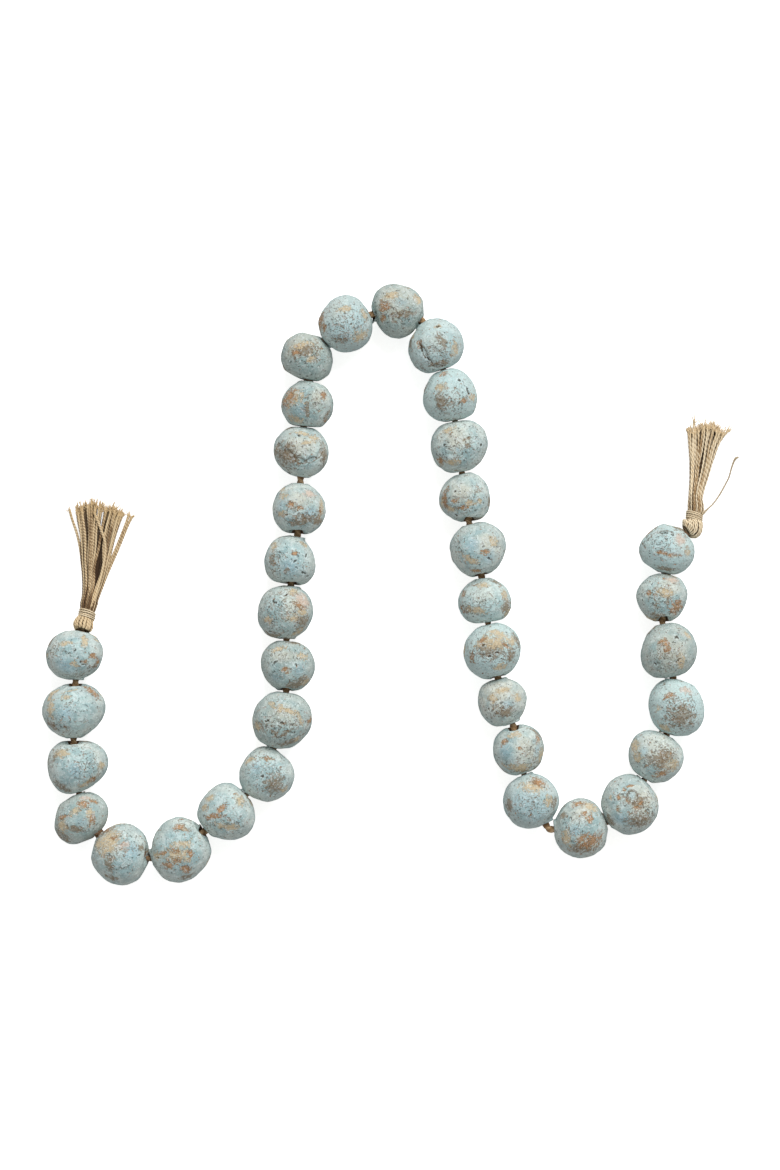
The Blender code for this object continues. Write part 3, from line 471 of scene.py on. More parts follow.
@dataclass
class Surface:
    """One closed surface, or several, as arrays: points in mm, corners of faces, values at points."""
    points: np.ndarray
    quads: np.ndarray
    triangles: np.ndarray
    values: dict[str, np.ndarray] = field(default_factory=dict)

    def adjust(self, name: str, scale: float, shift: Any = 0.0) -> None:
        """Scale one of the values and shift it, at every point."""
        self.values[name] = self.values[name] * scale + shift

    def joined(self, other: "Surface") -> "Surface":
        """Both surfaces as one; a value that one of them lacks is 0 there."""
        first = len(self.points)
        values = {}
        for name in {**self.values, **other.values}:
            like = self.values.get(name, other.values.get(name))
            blank = [np.zeros((len(part.points),) + like.shape[1:]) for part in (self, other)]
            values[name] = np.concatenate([self.values.get(name, blank[0]), other.values.get(name, blank[1])])
        return Surface(np.concatenate([self.points, other.points]),
                       np.concatenate([self.quads, other.quads + first]),
                       np.concatenate([self.triangles, other.triangles + first]), values)

    def facing_out(self) -> "Surface":
        """The same surface with its faces turned to point outwards.

        Formula: the signed volume, the sum of a . (b x c) / 6 over the triangles, is above 0 if so.
        """
        halves = np.concatenate([self.quads[:, [0, 1, 2]], self.quads[:, [0, 2, 3]], self.triangles])
        a, b, c = (self.points[halves[:, corner]] for corner in range(3))
        if (a * np.cross(b, c)).sum() / 6 > 0:
            return self
        return Surface(self.points, self.quads[:, ::-1], self.triangles[:, ::-1], self.values)

    def build(self, name: str, material: Finish) -> bpy.types.Object:
        """Make a smooth mesh object at the origin.

        Args:
            name: the piece's name.
            material: the finish of all its faces.

        Returns:
            The new object, linked to the scene.
        """
        turned = self.facing_out()
        corners = np.concatenate([turned.quads.ravel(), turned.triangles.ravel()])
        quads, triangles = len(turned.quads), len(turned.triangles)
        starts = np.concatenate([np.arange(quads) * 4, quads * 4 + np.arange(triangles) * 3])
        mesh = bpy.data.meshes.new(name)
        mesh.vertices.add(len(turned.points))
        mesh.vertices.foreach_set("co", (turned.points * MM).astype(np.float32).ravel())
        mesh.loops.add(len(corners))
        mesh.loops.foreach_set("vertex_index", corners.astype(np.int32))
        mesh.polygons.add(len(starts))
        mesh.polygons.foreach_set("loop_start", starts.astype(np.int32))
        mesh.update(calc_edges=True)
        mesh.shade_smooth()
        for label, values in turned.values.items():
            kind, slot = ("FLOAT", "value") if values.ndim == 1 else ("FLOAT_VECTOR", "vector")
            made = mesh.attributes.new(label, kind, "POINT")
            made.data.foreach_set(slot, values.astype(np.float32).ravel())
        mesh.materials.append(material)
        thing = bpy.data.objects.new(name, mesh)
        link(thing)
        return thing

    def dress(self, node: str, looks: str, slot: str, material: Finish) -> bpy.types.Object:
        """Build the piece that stands in for a solid.

        Args:
            node: the solid's node.
            looks: what the piece shows, which ends its name.
            slot: not used.
            material: its finish.

        Returns:
            The piece, riding on the one body.
        """
        piece = self.build(f"{node}_{looks}", material)
        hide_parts(node)
        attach(piece, BODY)
        return piece


@dataclass(frozen=True)
class Yarn:
    """How a yarn is laid up: its plies, their lay length and how deep the grooves between them are."""
    plies: int = 2
    lay_length: float = 4.4
    groove: float = 0.42
    sides: int = 10

    def spin(self, paths: np.ndarray, radii: np.ndarray, rng: np.random.Generator,
             level: np.ndarray = UP, outward: np.ndarray | None = None) -> Surface:
        """Carry the yarn's section along each path.

        Formula: the section is r(a) = R (1 - groove (1 - |cos(plies a / 2)|)), turned by
        2 pi s / lay_length + phase at arc length s in the plane of (tangent x level) and its
        normal, so that each column of points follows one ply round the yarn.

        Args:
            paths: centre lines, as strands x rings x 3.
            radii: the yarn's radius, as strands x rings.
            rng: the seeded source of phases and shades.
            level: for all strands or for each, a direction that its path never runs along.
            outward: the way out of the bundle, as strands x rings x 3, shorter further inside it.

        Returns:
            Closed tubes, with the values lay, ply, tone, tip, root and shade at their points. The
            shade is 0 where a point looks out of the bundle and 1 where it looks into it.
        """
        strands, rings, _ = paths.shape
        shape, count = (strands, rings, self.sides), rings * self.sides
        across, above = square_to(unit(np.gradient(paths, axis=1)), level[..., None, :])
        steps = np.linalg.norm(np.diff(paths, axis=1), axis=-1)
        length = np.concatenate([np.zeros((strands, 1)), np.cumsum(steps, axis=1)], axis=1)
        turn = 2 * pi * length / self.lay_length + rng.uniform(0, 2 * pi, (strands, 1))
        local = np.broadcast_to(np.arange(self.sides) * 2 * pi / self.sides, shape)
        angle = (local + turn[:, :, None])[..., None]
        crest = np.abs(np.cos(self.plies * local / 2))
        radius = radii[:, :, None] * (1 - self.groove * (1 - crest))
        way = np.cos(angle) * across[:, :, None, :] + np.sin(angle) * above[:, :, None, :]
        skin = paths[:, :, None, :] + radius[..., None] * way
        shade = np.zeros(shape)
        # painted shade: 1 where a point looks into the bundle, 0 where it looks out
        if outward is not None:
            shade = 1 - smoothstep(-0.1, 0.85, (way * outward[:, :, None, :]).sum(axis=-1))
        drawn = np.broadcast_to(length[:, :, None], shape)
        lay = np.stack([drawn, 2 * np.cos(local), 2 * np.sin(local)], axis=-1)
        lay = lay + rng.uniform(0, 90, (strands, 1, 1, 3))
        tone = np.broadcast_to(rng.uniform(0, 1, (strands, 1, 1)), shape)
        values = {"ply": crest, "lay": lay, "tone": tone, "tip": drawn[:, -1:, :] - drawn, "root": drawn,
                  "shade": shade}
        points = np.concatenate([skin.reshape(strands, count, 3), paths[:, [0, -1]]], axis=1)
        for name, value in values.items():
            flat = value.reshape((strands, count) + value.shape[3:])
            capped = np.concatenate([flat, flat[:, :1], flat[:, -1:]], axis=1)
            values[name] = capped.reshape((-1,) + value.shape[3:])
        first = np.arange(strands)[:, None, None] * (count + 2)
        quads, triangles = tube_faces(rings, self.sides)
        return Surface(points.reshape(-1, 3), (quads + first).reshape(-1, 4),
                       (triangles + first).reshape(-1, 3), values)


class Value:
    """A shader socket that can be added, subtracted and multiplied, and made positive."""

    def __init__(self, shader: "Shader", socket: bpy.types.NodeSocket) -> None:
        """Wrap a socket of a shader's node."""
        self.shader = shader
        self.socket = socket

    def __add__(self, other: "Value | float") -> "Value":
        """The sum."""
        return self.shader.math("ADD", self, other)

    __radd__ = __add__

    def __sub__(self, other: "Value | float") -> "Value":
        """The difference."""
        return self.shader.math("SUBTRACT", self, other)

    def __rsub__(self, other: float) -> "Value":
        """The difference from a number."""
        return self.shader.math("SUBTRACT", other, self)

    def __mul__(self, other: "Value | float") -> "Value":
        """The product."""
        return self.shader.math("MULTIPLY", self, other)

    __rmul__ = __mul__

    def __abs__(self) -> "Value":
        """The size without the sign."""
        return self.shader.math("ABSOLUTE", self)


class Shader:
    """A material's node tree, built from expressions, with one colour that coats are laid over."""

    def __init__(self, name: str, roughness: float, base: tuple) -> None:
        """Start a material with a Principled shader of one roughness and a base colour."""
        self.material = bpy.data.materials.new(name)
        self.material.use_nodes = True
        self.tree = self.material.node_tree
        self.surface = self.tree.nodes["Principled BSDF"]
        self.surface.inputs["Roughness"].default_value = roughness
        self.surface.inputs["Specular IOR Level"].default_value = 0.25
        self.colour: Any = base

    def node(self, kind: str, settings: Mapping[str, Any], inputs: Mapping[Any, Any],
             output: Any = 0) -> Value:
        """Add any node.

        Args:
            kind: the node's type.
            settings: its properties, set before its sockets.
            inputs: numbers, colours or links by socket name or index.
            output: the output socket that is wanted, by name or index.

        Returns:
            That output, wrapped.
        """
        made = self.tree.nodes.new(kind)
        for name, setting in settings.items():
            setattr(made, name, setting)
        for place, given in inputs.items():
            if isinstance(given, Value):
                self.tree.links.new(given.socket, made.inputs[place])
            else:
                made.inputs[place].default_value = given
        return Value(self, made.outputs[output])

    def math(self, operation: str, *terms: "Value | float") -> Value:
        """One Math node on its terms, in order."""
        return self.node("ShaderNodeMath", {"operation": operation}, dict(enumerate(terms)))

    def value(self, name: str, output: str = "Fac") -> Value:
        """A number that the mesh holds at its points, or with the output Vector a vector."""
        return self.node("ShaderNodeAttribute", {"attribute_name": name}, {}, output)

    def place(self) -> Value:
        """The point's place in the garland's own frame, in metres."""
        return self.node("ShaderNodeTexCoord", {}, {}, "Object")

    def noise(self, where: Value, size: float, detail: float = 3.0, bend: float = 0.0) -> Value:
        """Noise whose lumps are about size long, in the units of where."""
        inputs = {"Vector": where, "Scale": 1 / size, "Detail": detail, "Distortion": bend, "Roughness": 0.5}
        return self.node("ShaderNodeTexNoise", {}, inputs)

    def rise(self, given: Value, low: float, high: float) -> Value:
        """0 below low, 1 above high, smooth between; low above high turns it round."""
        turned = low > high
        inputs = {0: given, 1: min(low, high), 2: max(low, high), 3: float(turned), 4: float(not turned)}
        return self.node("ShaderNodeMapRange", {"interpolation_type": "SMOOTHSTEP"}, inputs)

    def mix(self, share: "Value | float", first: Any, second: Any) -> Value:
        """The first colour, turning into the second as share goes to 1."""
        return self.node("ShaderNodeMix", {"data_type": "RGBA"}, {0: share, 6: first, 7: second}, 2)

    def coat(self, share: "Value | float", tint: Any) -> None:
        """Lay a tint over the colour so far; it hides the colour where share is 1."""
        self.colour = self.mix(share, self.colour, tint)

    def finish(self, roughness: Value, height: Value, depth: float) -> Finish:
        """Feed the shader and return the material.

        Args:
            roughness: the roughness over the surface.
            height: relief from 0 to 1.
            depth: how deep that relief is, in mm.

        Returns:
            The finished material.
        """
        bump = self.node("ShaderNodeBump", {}, {"Height": height, "Distance": depth * MM, "Strength": 1.0})
        for name, value in {"Base Color": self.colour, "Roughness": roughness, "Normal": bump}.items():
            self.tree.links.new(value.socket, self.surface.inputs[name])
        return self.material


@dataclass(frozen=True)
class ChalkGlaze:
    """The beads' finish: a crusty pale blue chalky coat, worn through to clay, with rust, soot and pits, and
    with a painted highlight on the shoulders and painted shade round the middle.
    """
    shade: tuple = linear(160, 188, 190)
    middle: tuple = linear(189, 213, 211)
    light: tuple = linear(206, 230, 228)
    pale: tuple = linear(222, 234, 234)
    # painted highlight: the tint that makes the shoulders paler
    shoulder_highlight_tint: tuple = linear(228, 225, 213)
    cream: tuple = linear(222, 214, 194)
    dirt: tuple = linear(138, 150, 140)
    deep_blue: tuple = linear(160, 196, 208)
    rust: tuple = linear(186, 146, 108)
    rust_dark: tuple = linear(132, 99, 70)
    tan: tuple = linear(208, 190, 156)
    # umber, the umber stains' colour, also paints the shade round each bead's middle
    umber: tuple = linear(140, 120, 94)
    salmon: tuple = linear(216, 192, 174)
    line: tuple = linear(112, 96, 76)
    soot: tuple = linear(76, 70, 60)
    # painted reflection: the brown of the cord's light inside the bore
    bore: tuple = linear(134, 106, 82)

    def material(self) -> Finish:
        """Layer the finish: the coat, a painted highlight on the shoulders and painted shade round the
        middle, crackle and specks in it, washes and flecks of each mark, dents with painted shade at their
        edges, pits with a painted highlight round them, and a painted reflection of the cord in the bore.

        Returns:
            The finished material.
        """
        make = Shader("chalk_glaze", 0.85, self.shade)
        place = make.place()
        cloud = make.noise(place, 24 * MM, 2.0)
        patch = make.noise(place, 7 * MM, 4.0, 0.5)
        flake = make.noise(place, 2.8 * MM, 3.0, 0.8)
        curl = make.noise(place, 3.2 * MM, 2.0, 1.2)
        clump = make.noise(place, 2.2 * MM, 2.0, 0.3)
        crust = make.noise(place, 1.3 * MM, 2.0, 0.4)
        grit = make.noise(place, 0.6 * MM, 1.0)
        specks = make.noise(place, 1.5 * MM, 1.5, 0.2)
        names = ("rust", "tan", "umber", "salmon", "speckle", "upward", "firing")
        rust, tan, umber, salmon, speckle, upward, firing = (make.value(name) for name in names)

        make.coat(make.rise(patch + cloud * 0.5, 0.6, 0.9), self.middle)
        make.coat(make.rise(make.value("cream") + (patch - 0.5) * 0.9, 0.12, 0.8) * 0.6, self.cream)
        make.coat(make.rise(patch * 0.4 + flake * 0.6, 0.46, 0.66) * 0.55, self.pale)
        make.coat(make.rise(make.value("blue") + (patch - 0.5) * 1.2, 0.25, 0.9) * 0.6, self.deep_blue)
        # painted highlight: the shoulders, between the top and the middle of each bead, are painted paler
        shoulder_highlight_mask = make.rise(upward, 0.85, 0.55) * make.rise(upward, 0.1, 0.4)
        make.coat(shoulder_highlight_mask * (0.15 + 0.4 * patch), self.shoulder_highlight_tint)
        # painted shade: each bead is darkened, in patches, from its flanks down round its middle and
        # underneath
        make.coat(make.rise(upward, 0.36, 0.05) * (0.05 + 0.45 * patch), self.umber)
        make.coat(make.rise(firing, 0.0, 1.0) * 0.7, self.light)
        make.coat(make.rise(firing, 0.0, -1.0) * 0.32, self.dirt)
        make.coat(make.rise(crust + grit * 0.3, 0.58, 0.44) * 0.3, self.dirt)

        marked = speckle * 0.5 + (tan + umber + rust) * 0.35
        worn = make.rise(patch * 0.5 + cloud * 0.3 + marked, 0.4, 0.75)
        web = make.rise(abs(curl - 0.5), 0.16, 0.05)
        line = make.rise(abs(curl - 0.5), 0.07, 0.02) * make.rise(crust, 0.42, 0.54)
        make.coat(line * (0.12 + 0.6 * worn), self.line)
        dot = make.rise(specks + marked * 0.14 + (cloud - 0.5) * 0.16, 0.66, 0.7)
        make.coat(dot * 0.66, self.soot)

        fleck = (clump - 0.5) * 2.2 + (crust - 0.5) * 1.8 + (grit - 0.5) * 0.6 + (web - 0.4) * 0.25
        strewn = (patch - 0.5) * 1.5 + (cloud - 0.5) * 1.2 + speckle * 0.35 + fleck * 0.8
        bare = make.rise(strewn, 0.5, 0.68)
        make.coat(bare * 0.5, self.umber)
        for held, tint, wash, strength in ((umber, self.umber, 0.22, 0.7), (tan, self.tan, 0.35, 0.8),
                                           (salmon, self.salmon, 0.5, 0.5), (rust, self.tan, 0.4, 0.9)):
            make.coat(make.rise(held + (patch - 0.5) * 0.9, 0.2, 0.75) * wash, tint)
            level = held * 1.15 + fleck
            chip = make.rise(level, 0.56, 0.72)
            if held is rust:
                tint = make.mix(make.rise(level + (grit - 0.5) * 1.5, 0.58, 1.1), self.rust_dark, self.rust)
            make.coat(chip * strength, tint)
            outline = make.rise(abs(level - 0.56), 0.12, 0.03) * make.rise(held, 0.1, 0.35)
            make.coat(outline * 0.45, self.line)
            bare = bare + chip
        dent = make.value("dent") + (crust - 0.5) * 0.5
        # painted shade: a dark line along the edge of each dent
        make.coat(make.rise(abs(dent - 0.5), 0.12, 0.04) * 0.75, self.line)
        pit = make.value("pit") + (crust - 0.5) * 1.5
        # painted highlight: a pale ring round each pit
        make.coat(make.rise(abs(pit - 0.24), 0.14, 0.04) * 0.6, self.pale)
        make.coat(make.rise(pit, 0.42, 0.66) * 0.85, self.soot)
        # painted reflection: the bore and its lips are painted brown, for the cord's brown light in them
        make.coat(make.rise(make.value("mouth"), 0.93, 0.99), self.bore)

        height = (crust * 0.45 + flake * 0.5 + clump * 0.4 + grit * 0.15 + 0.3 * (1 - line) + 0.3 * (1 - dot)
                  - 0.12 * bare)
        return make.finish(0.82 + 0.1 * patch + 0.03 * bare, height, 0.55)


@dataclass(frozen=True)
class Jute:
    """A jute yarn's finish: straw fibres along its plies, with painted shade in the grooves and a painted
    highlight on the crests, painted shade where it looks into the bundle, and paler at cut ends.
    """
    name: str
    # gap is the painted shade between strands and inside the bundle; dark is also the painted shade in the
    # ply grooves
    gap: tuple
    dark: tuple
    middle: tuple
    light: tuple
    tip: tuple
    # how strongly the ply grooves are painted in shade
    ply_groove_shade: float
    stretch: tuple = (0.35, 1.6, 1.6)       # of the fibres' noise, along and across a yarn

    def material(self) -> Finish:
        """Tint by strand and by fibre, paint shade in the ply grooves and a highlight on their crests, and
        paint shade where the yarn looks into the bundle.

        Returns:
            The finished material.
        """
        make = Shader(self.name, 0.92, self.dark)
        lay = make.value("lay", "Vector")
        stretched = make.node("ShaderNodeVectorMath", {"operation": "MULTIPLY"}, {0: lay, 1: self.stretch})
        fibre = make.noise(stretched, 0.9, 3.0)
        blotch = make.noise(lay, 9.0, 2.0)
        fuzz = make.noise(make.place(), 0.5 * MM, 2.0)
        ply = make.value("ply")
        lit = fibre * 0.8 + make.value("tone") * 0.65 + (blotch - 0.5) * 0.7 + fuzz * 0.2
        make.coat(make.rise(lit, 0.4, 0.8), self.middle)
        # lighter by fibre, tone and blotch, with a painted highlight on the ply crests
        make.coat(make.rise(lit + ply * 0.35, 0.75, 1.2), self.light)
        # painted shade: the ply grooves are darkened
        make.coat(make.rise(ply, 0.75, 0.1) * self.ply_groove_shade, self.dark)
        make.coat(make.rise(make.value("tip") + fibre * 8, 12.0, 3.0) * 0.75, self.tip)
        # painted shade: towards the gap colour where the yarn looks into the bundle
        make.coat(make.rise(make.value("shade") + (fibre - 0.5) * 0.5, 0.12, 0.85) * 0.92, self.gap)
        return make.finish(0.86 + 0.1 * fibre, fibre * 0.6 + fuzz * 0.4, 0.16)


@dataclass(frozen=True)
class Paper:
    """The floor's finish: pale, matt and faintly lit, as in a white studio."""
    colour: tuple = linear(250, 250, 249)
    grain: tuple = linear(240, 240, 238)
    glow: float = 0.72

    def material(self) -> Finish:
        """A pale matt surface with the least unevenness."""
        make = Shader("white_paper", 0.9, self.colour)
        make.surface.inputs["Emission Color"].default_value = self.colour
        make.surface.inputs["Emission Strength"].default_value = self.glow
        grain = make.noise(make.place(), 3 * MM, 2.0)
        make.coat(grain * 0.1, self.grain)
        return make.finish(0.88 + 0.04 * grain, grain, 0.02)


@dataclass
class Route:
    """The cord's way through all of the beads, and the bead sizes that set its height."""
    flatness: float = 0.96
    flatness_swing: float = 0.03
    uneven: float = 2.4
    foot_sink: float = 0.5
    bend_reach: float = 8.0

    def squat(self, bead: int) -> float:
        """A bead's height against its width."""
        return self.flatness + self.flatness_swing * sin(self.uneven * bead)

    def middle(self, bead: int) -> np.ndarray:
        """A bead's middle; it is as high as its mean radius times its flatness, less what its foot lost."""
        outline = BEADS[bead]
        height = float(np.mean(outline[2:])) * self.squat(bead) - self.foot_sink
        return np.array([outline.x, outline.y, height])

    def gaps(self) -> np.ndarray:
        """The points between beads; each is as high as the mean of its neighbours' middles."""
        heights = np.array([self.middle(bead)[2] for bead in range(len(BEADS))])
        levels = np.concatenate([heights[:1], (heights[1:] + heights[:-1]) / 2, heights[-1:]])
        return np.column_stack([np.array(ROUTE), levels])

    def directions(self) -> np.ndarray:
        """The cord's direction at each gap: halfway between the bores that meet there."""
        gaps = self.gaps()
        bores = unit(np.diff(gaps, axis=0))
        first = self.middle(0) - gaps[0]
        last = gaps[-1] - self.middle(len(BEADS) - 1)
        return unit(np.vstack([unit(first), bores[1:] + bores[:-1], unit(last)]))

    def centre_line(self, samples: int, end_gap: float) -> np.ndarray:
        """The cord's middle from end to end.

        Formula: between two gaps the cubic Hermite with the ends p, q and the tangents 8 mm long,
        p (1 - t)^2 (1 + 2 t) + q t^2 (3 - 2 t) + 8 u t (1 - t)^2 - 8 v t^2 (1 - t).

        Args:
            samples: points in each bead.
            end_gap: how far short of each tassel the cord stops, in mm.

        Returns:
            The points, in mm.
        """
        gaps, ways = self.gaps(), self.directions() * self.bend_reach
        t = (np.arange(samples) / samples)[None, :, None]
        p, q, u, v = gaps[:-1, None], gaps[1:, None], ways[:-1, None], ways[1:, None]
        run = (p * (1 - t) ** 2 * (1 + 2 * t) + q * t ** 2 * (3 - 2 * t)
               + u * t * (1 - t) ** 2 - v * t ** 2 * (1 - t)).reshape(-1, 3)
        ends = self.directions()[[0, -1]] * end_gap
        return np.vstack([gaps[:1] + ends[:1], run[1:], gaps[-1:] - ends[1:]])


@dataclass
class StringingCord:
    """The jute cord through the beads: two plies twisted together."""
    route: Route
    radius: float = 2.1
    samples: int = 42
    end_gap: float = 0.35
    seed: int = 5
    yarn: Yarn = Yarn(lay_length=8.5, groove=0.3, sides=12)

    def make(self, finish: Finish) -> None:
        line = self.route.centre_line(self.samples, self.end_gap)
        radii = np.full((1, len(line)), self.radius)
        surface = self.yarn.spin(line[None], radii, np.random.default_rng(self.seed))
        piece = surface.dress("stringing_cord", "twine", "cord", finish)


@dataclass
class CeramicBead:
    """One hand-rolled bead: lumpy skin, pressed ends, worn bore mouths and a small flat foot."""
    number: int
    route: Route
    around: int = 96
    along: int = 66
    lip: float = 0.8
    lip_rows: int = 3
    bore_rows: int = 5
    bore_radius: float = 3.4
    end_clearance: float = 0.2
    end_softness: float = 0.5
    foot_softness: float = 0.12
    lumps: tuple = ((0.1, 9.0, 22), (0.04, 3.4, 30))    # depth, wavelength and number of the waves
    pit_depth: float = 0.7
    dent_depth: float = 0.9
    chip_depth: float = 0.16
    hidden_marks: int = 15
    rim_ease: float = 0.3           # the angle over which the skin is drawn to the bore's rim
    notch_reach: float = 5.0
    end_zone: float = 12.0          # how far from a gap the skin and the bore count as its mouth

    def __post_init__(self) -> None:
        """Find the bead's middle, its two ends and its bore, and the two angles of its grid."""
        gaps = self.route.gaps()
        self.middle = self.route.middle(self.number)
        self.ends = (gaps[self.number] - self.middle, gaps[self.number + 1] - self.middle)
        self.bore = unit(self.ends[1] - self.ends[0])
        side, self.above = square_to(self.bore)
        self.rim = self.bore_radius + self.lip
        first, second = (np.arctan2(self.rim, abs(float(end @ self.bore))) for end in self.ends)
        self.polar = np.linspace(first, pi - second, self.along)[:, None]
        turn = (np.arange(self.around) * 2 * pi / self.around)[None, :]
        self.ring = np.cos(turn)[..., None] * side + np.sin(turn)[..., None] * self.above

    def skin_radius(self, way: np.ndarray) -> np.ndarray:
        """The skin's distance from the bead's middle.

        Formula: the mean radius plus, for m from 1 to 4, (a cos m w + b sin m w) c^m, where w is the
        direction's angle in plan and c its level part, so that the outline's waves fade to the poles.
        The fourth wave is halved, because it makes corners that a rolled bead lacks.

        Args:
            way: unit directions from the middle.

        Returns:
            A distance in mm for each.
        """
        radii = np.array(BEADS[self.number][2:])
        angles = np.arange(8) * pi / 4
        turn = np.arctan2(way[..., 1], way[..., 0])
        flat = np.hypot(way[..., 0], way[..., 1])
        radius = np.full(turn.shape, radii.mean())
        for wave in range(1, 5):
            share = 1 / 16 if wave == 4 else 1 / 4
            along = share * (radii * np.cos(wave * angles)).sum()
            across = share * (radii * np.sin(wave * angles)).sum()
            radius += (along * np.cos(wave * turn) + across * np.sin(wave * turn)) * flat ** wave
        return radius

    def pressed(self, points: np.ndarray, plane: np.ndarray, outward: np.ndarray,
                clearance: float, softness: float) -> np.ndarray:
        """Flatten points softly against a plane: a depth d under it becomes s ln(1 + e^(d / s))."""
        depth = (plane - points) @ outward - clearance
        kept = softness * np.logaddexp(0.0, depth / softness)
        return points - (kept - depth)[..., None] * outward

    def marks(self, rng: np.random.Generator) -> list[tuple[Stain, np.ndarray, float, float, float]]:
        """The bead's marks.

        The photograph's marks are set on the top, each on the bead whose middle is nearest. The
        others are drawn at random over the sides and the underside, which the photograph hides.

        Args:
            rng: the seeded source of the hidden marks.

        Returns:
            For each mark its stain, middle on the skin, two half sizes and lean in radians.
        """
        squat = self.route.squat(self.number)
        middles = np.array([bead[:2] for bead in BEADS])
        found = []
        for stain, mark in ((stain, Mark(*row)) for stain, rows in MARKS.items() for row in rows):
            spot = np.array([mark.across - ORIGIN_ACROSS, ORIGIN_DOWN - mark.down]) * MM_PER_PIXEL
            if np.argmin(np.linalg.norm(middles - spot, axis=1)) != self.number:
                continue
            offset = spot - middles[self.number]
            reach = float(self.skin_radius(unit(np.array([*offset, 0.0]))))
            share = min(float(np.hypot(*offset)) / reach, 0.97)
            middle = np.array([*(unit(offset) * share * reach), reach * squat * np.sqrt(1 - share ** 2)])
            found.append((stain, middle, mark.long, mark.short, radians(mark.lean)))
        for draw in range(self.hidden_marks):
            way = unit(rng.normal(size=3) * np.array([1.0, 1.0, 0.8]) + np.array([0.0, 0.0, -0.55]))
            middle = way * float(self.skin_radius(way)) * np.array([1.0, 1.0, squat])
            stain = HIDDEN_KINDS[draw % len(HIDDEN_KINDS)]
            size = rng.uniform(0.7, 1.1) if stain is Stain.PIT else rng.uniform(1.4, 4.6)
            found.append((stain, middle, size, size * rng.uniform(0.4, 0.9), rng.uniform(0, pi)))
        return found

    def stain_fields(self, points: np.ndarray, rng: np.random.Generator) -> dict[str, np.ndarray]:
        """How strongly each kind of mark shows at each point.

        Formula: 1 - d / 2, held at 0 and above, where d is the distance from the mark's middle
        measured in its own half sizes along its long way, its short way and the skin's normal.

        Args:
            points: places relative to the bead's middle, in mm.
            rng: the seeded source of the hidden marks.

        Returns:
            An array for each stain, 0.5 at a mark's edge; the greatest counts where marks meet.
        """
        fields = {stain.value: np.zeros(points.shape[:-1]) for stain in Stain}
        for stain, middle, long, short, lean in self.marks(rng):
            normal = unit(middle)
            run = np.array([np.cos(lean), np.sin(lean), 0.0])
            run = unit(run - normal * (run @ normal))
            offset = points - middle
            distance = np.sqrt((offset @ run / long) ** 2 + (offset @ np.cross(normal, run) / short) ** 2
                               + (offset @ normal / (long + short)) ** 2)
            shown = np.clip(1 - distance / 2, 0.0, 1.0)
            fields[stain.value] = np.maximum(fields[stain.value], shown)
        return fields

    def skin(self, rng: np.random.Generator) -> tuple[np.ndarray, dict[str, np.ndarray]]:
        """The stained skin from the first mouth to the second, flattened at both gaps.

        Formula: a point is radius times direction, with lumps from ripples, and pits, dents and chips
        pressed in where their marks are.

        Args:
            rng: the seeded source of marks and lumps.

        Returns:
            A grid of points, and the values at them.
        """
        way = -np.cos(self.polar)[..., None] * self.bore + np.sin(self.polar)[..., None] * self.ring
        squat = np.array([1.0, 1.0, self.route.squat(self.number)])
        skin = way * self.skin_radius(way)[..., None] * squat
        fields = self.stain_fields(skin, rng)
        # upward, the height on the bead, places the painted highlight on the shoulders and the painted shade
        # round the middle
        fields["upward"] = way[..., 2]
        fields["firing"] = np.full(way.shape[:2], FIRINGS.get(self.number + 1, 0.0))
        fields["blue"] = fields["blue"] + BLUER * (self.number + 1 in BLUER_BEADS)
        relief = sum(depth * ripples(skin, wavelength, waves, rng) for depth, wavelength, waves in self.lumps)
        chips = fields["rust"] + fields["tan"] * 0.6
        for depth, low, high, cover in ((self.pit_depth, 0.3, 1.0, fields["pit"]),
                                        (self.dent_depth, 0.3, 0.7, fields["dent"]),
                                        (self.chip_depth, 0.4, 0.6, chips)):
            relief = relief - depth * smoothstep(low, high, cover)
        skin = skin + way * relief[..., None]
        ways = self.route.directions()
        for end, outward in zip(self.ends, (-ways[self.number], ways[self.number + 1])):
            skin = self.pressed(skin, end, outward, self.end_clearance, self.end_softness)
        return skin, fields

    def worn(self, skin: np.ndarray) -> np.ndarray:
        """The skin drawn to the round rim of each mouth, and worn back over the cord.

        Formula: near a mouth the distance from the bore's axis goes over to the rim's radius. A point
        above the axis also moves inwards, by the mouth's wear times smoothsteps of how far up and how
        near the rim it is.

        Args:
            skin: the grid of the skin.

        Returns:
            The changed grid.
        """
        wear = MOUTHS.get(self.number + 1, (0.0, 0.0))
        for end, inward, depth, edge in zip(self.ends, (self.bore, -self.bore), wear, (0, -1)):
            from_end = skin - end
            along = from_end @ self.bore
            out = from_end - along[..., None] * self.bore
            reach = np.linalg.norm(out, axis=-1)
            near = 1 - smoothstep(0.0, self.rim_ease, np.abs(self.polar - self.polar[edge]))
            changed = reach + near * (self.rim - reach[edge][None, :])
            upward = smoothstep(0.25, 1.0, out @ self.above / np.maximum(reach, 1e-6))
            by_rim = 1 - smoothstep(self.rim, self.rim + self.notch_reach, changed)
            notch = depth * upward * by_rim * (np.abs(along) < self.end_zone)
            skin = (end + along[..., None] * self.bore + unit(out) * changed[..., None]
                    + inward * notch[..., None])
        return skin

    def rounded_lip(self, skin: np.ndarray, edge: int, inward: np.ndarray) -> np.ndarray:
        """The rows that follow a quarter circle from the skin's edge into the bore.

        Args:
            skin: the finished skin.
            edge: 0 for its first row or -1 for its last.
            inward: the bore's way into the bead from there.

        Returns:
            A grid of points.
        """
        end = self.ends[edge]
        at = (skin[edge] - end) @ self.bore
        bend = (np.arange(1, self.lip_rows + 1) * pi / 2 / self.lip_rows)[:, None]
        reach = self.rim - self.lip * np.sin(bend)
        return (end + at[None, :, None] * self.bore + self.ring * reach[..., None]
                + inward * (self.lip * (1 - np.cos(bend)))[..., None])

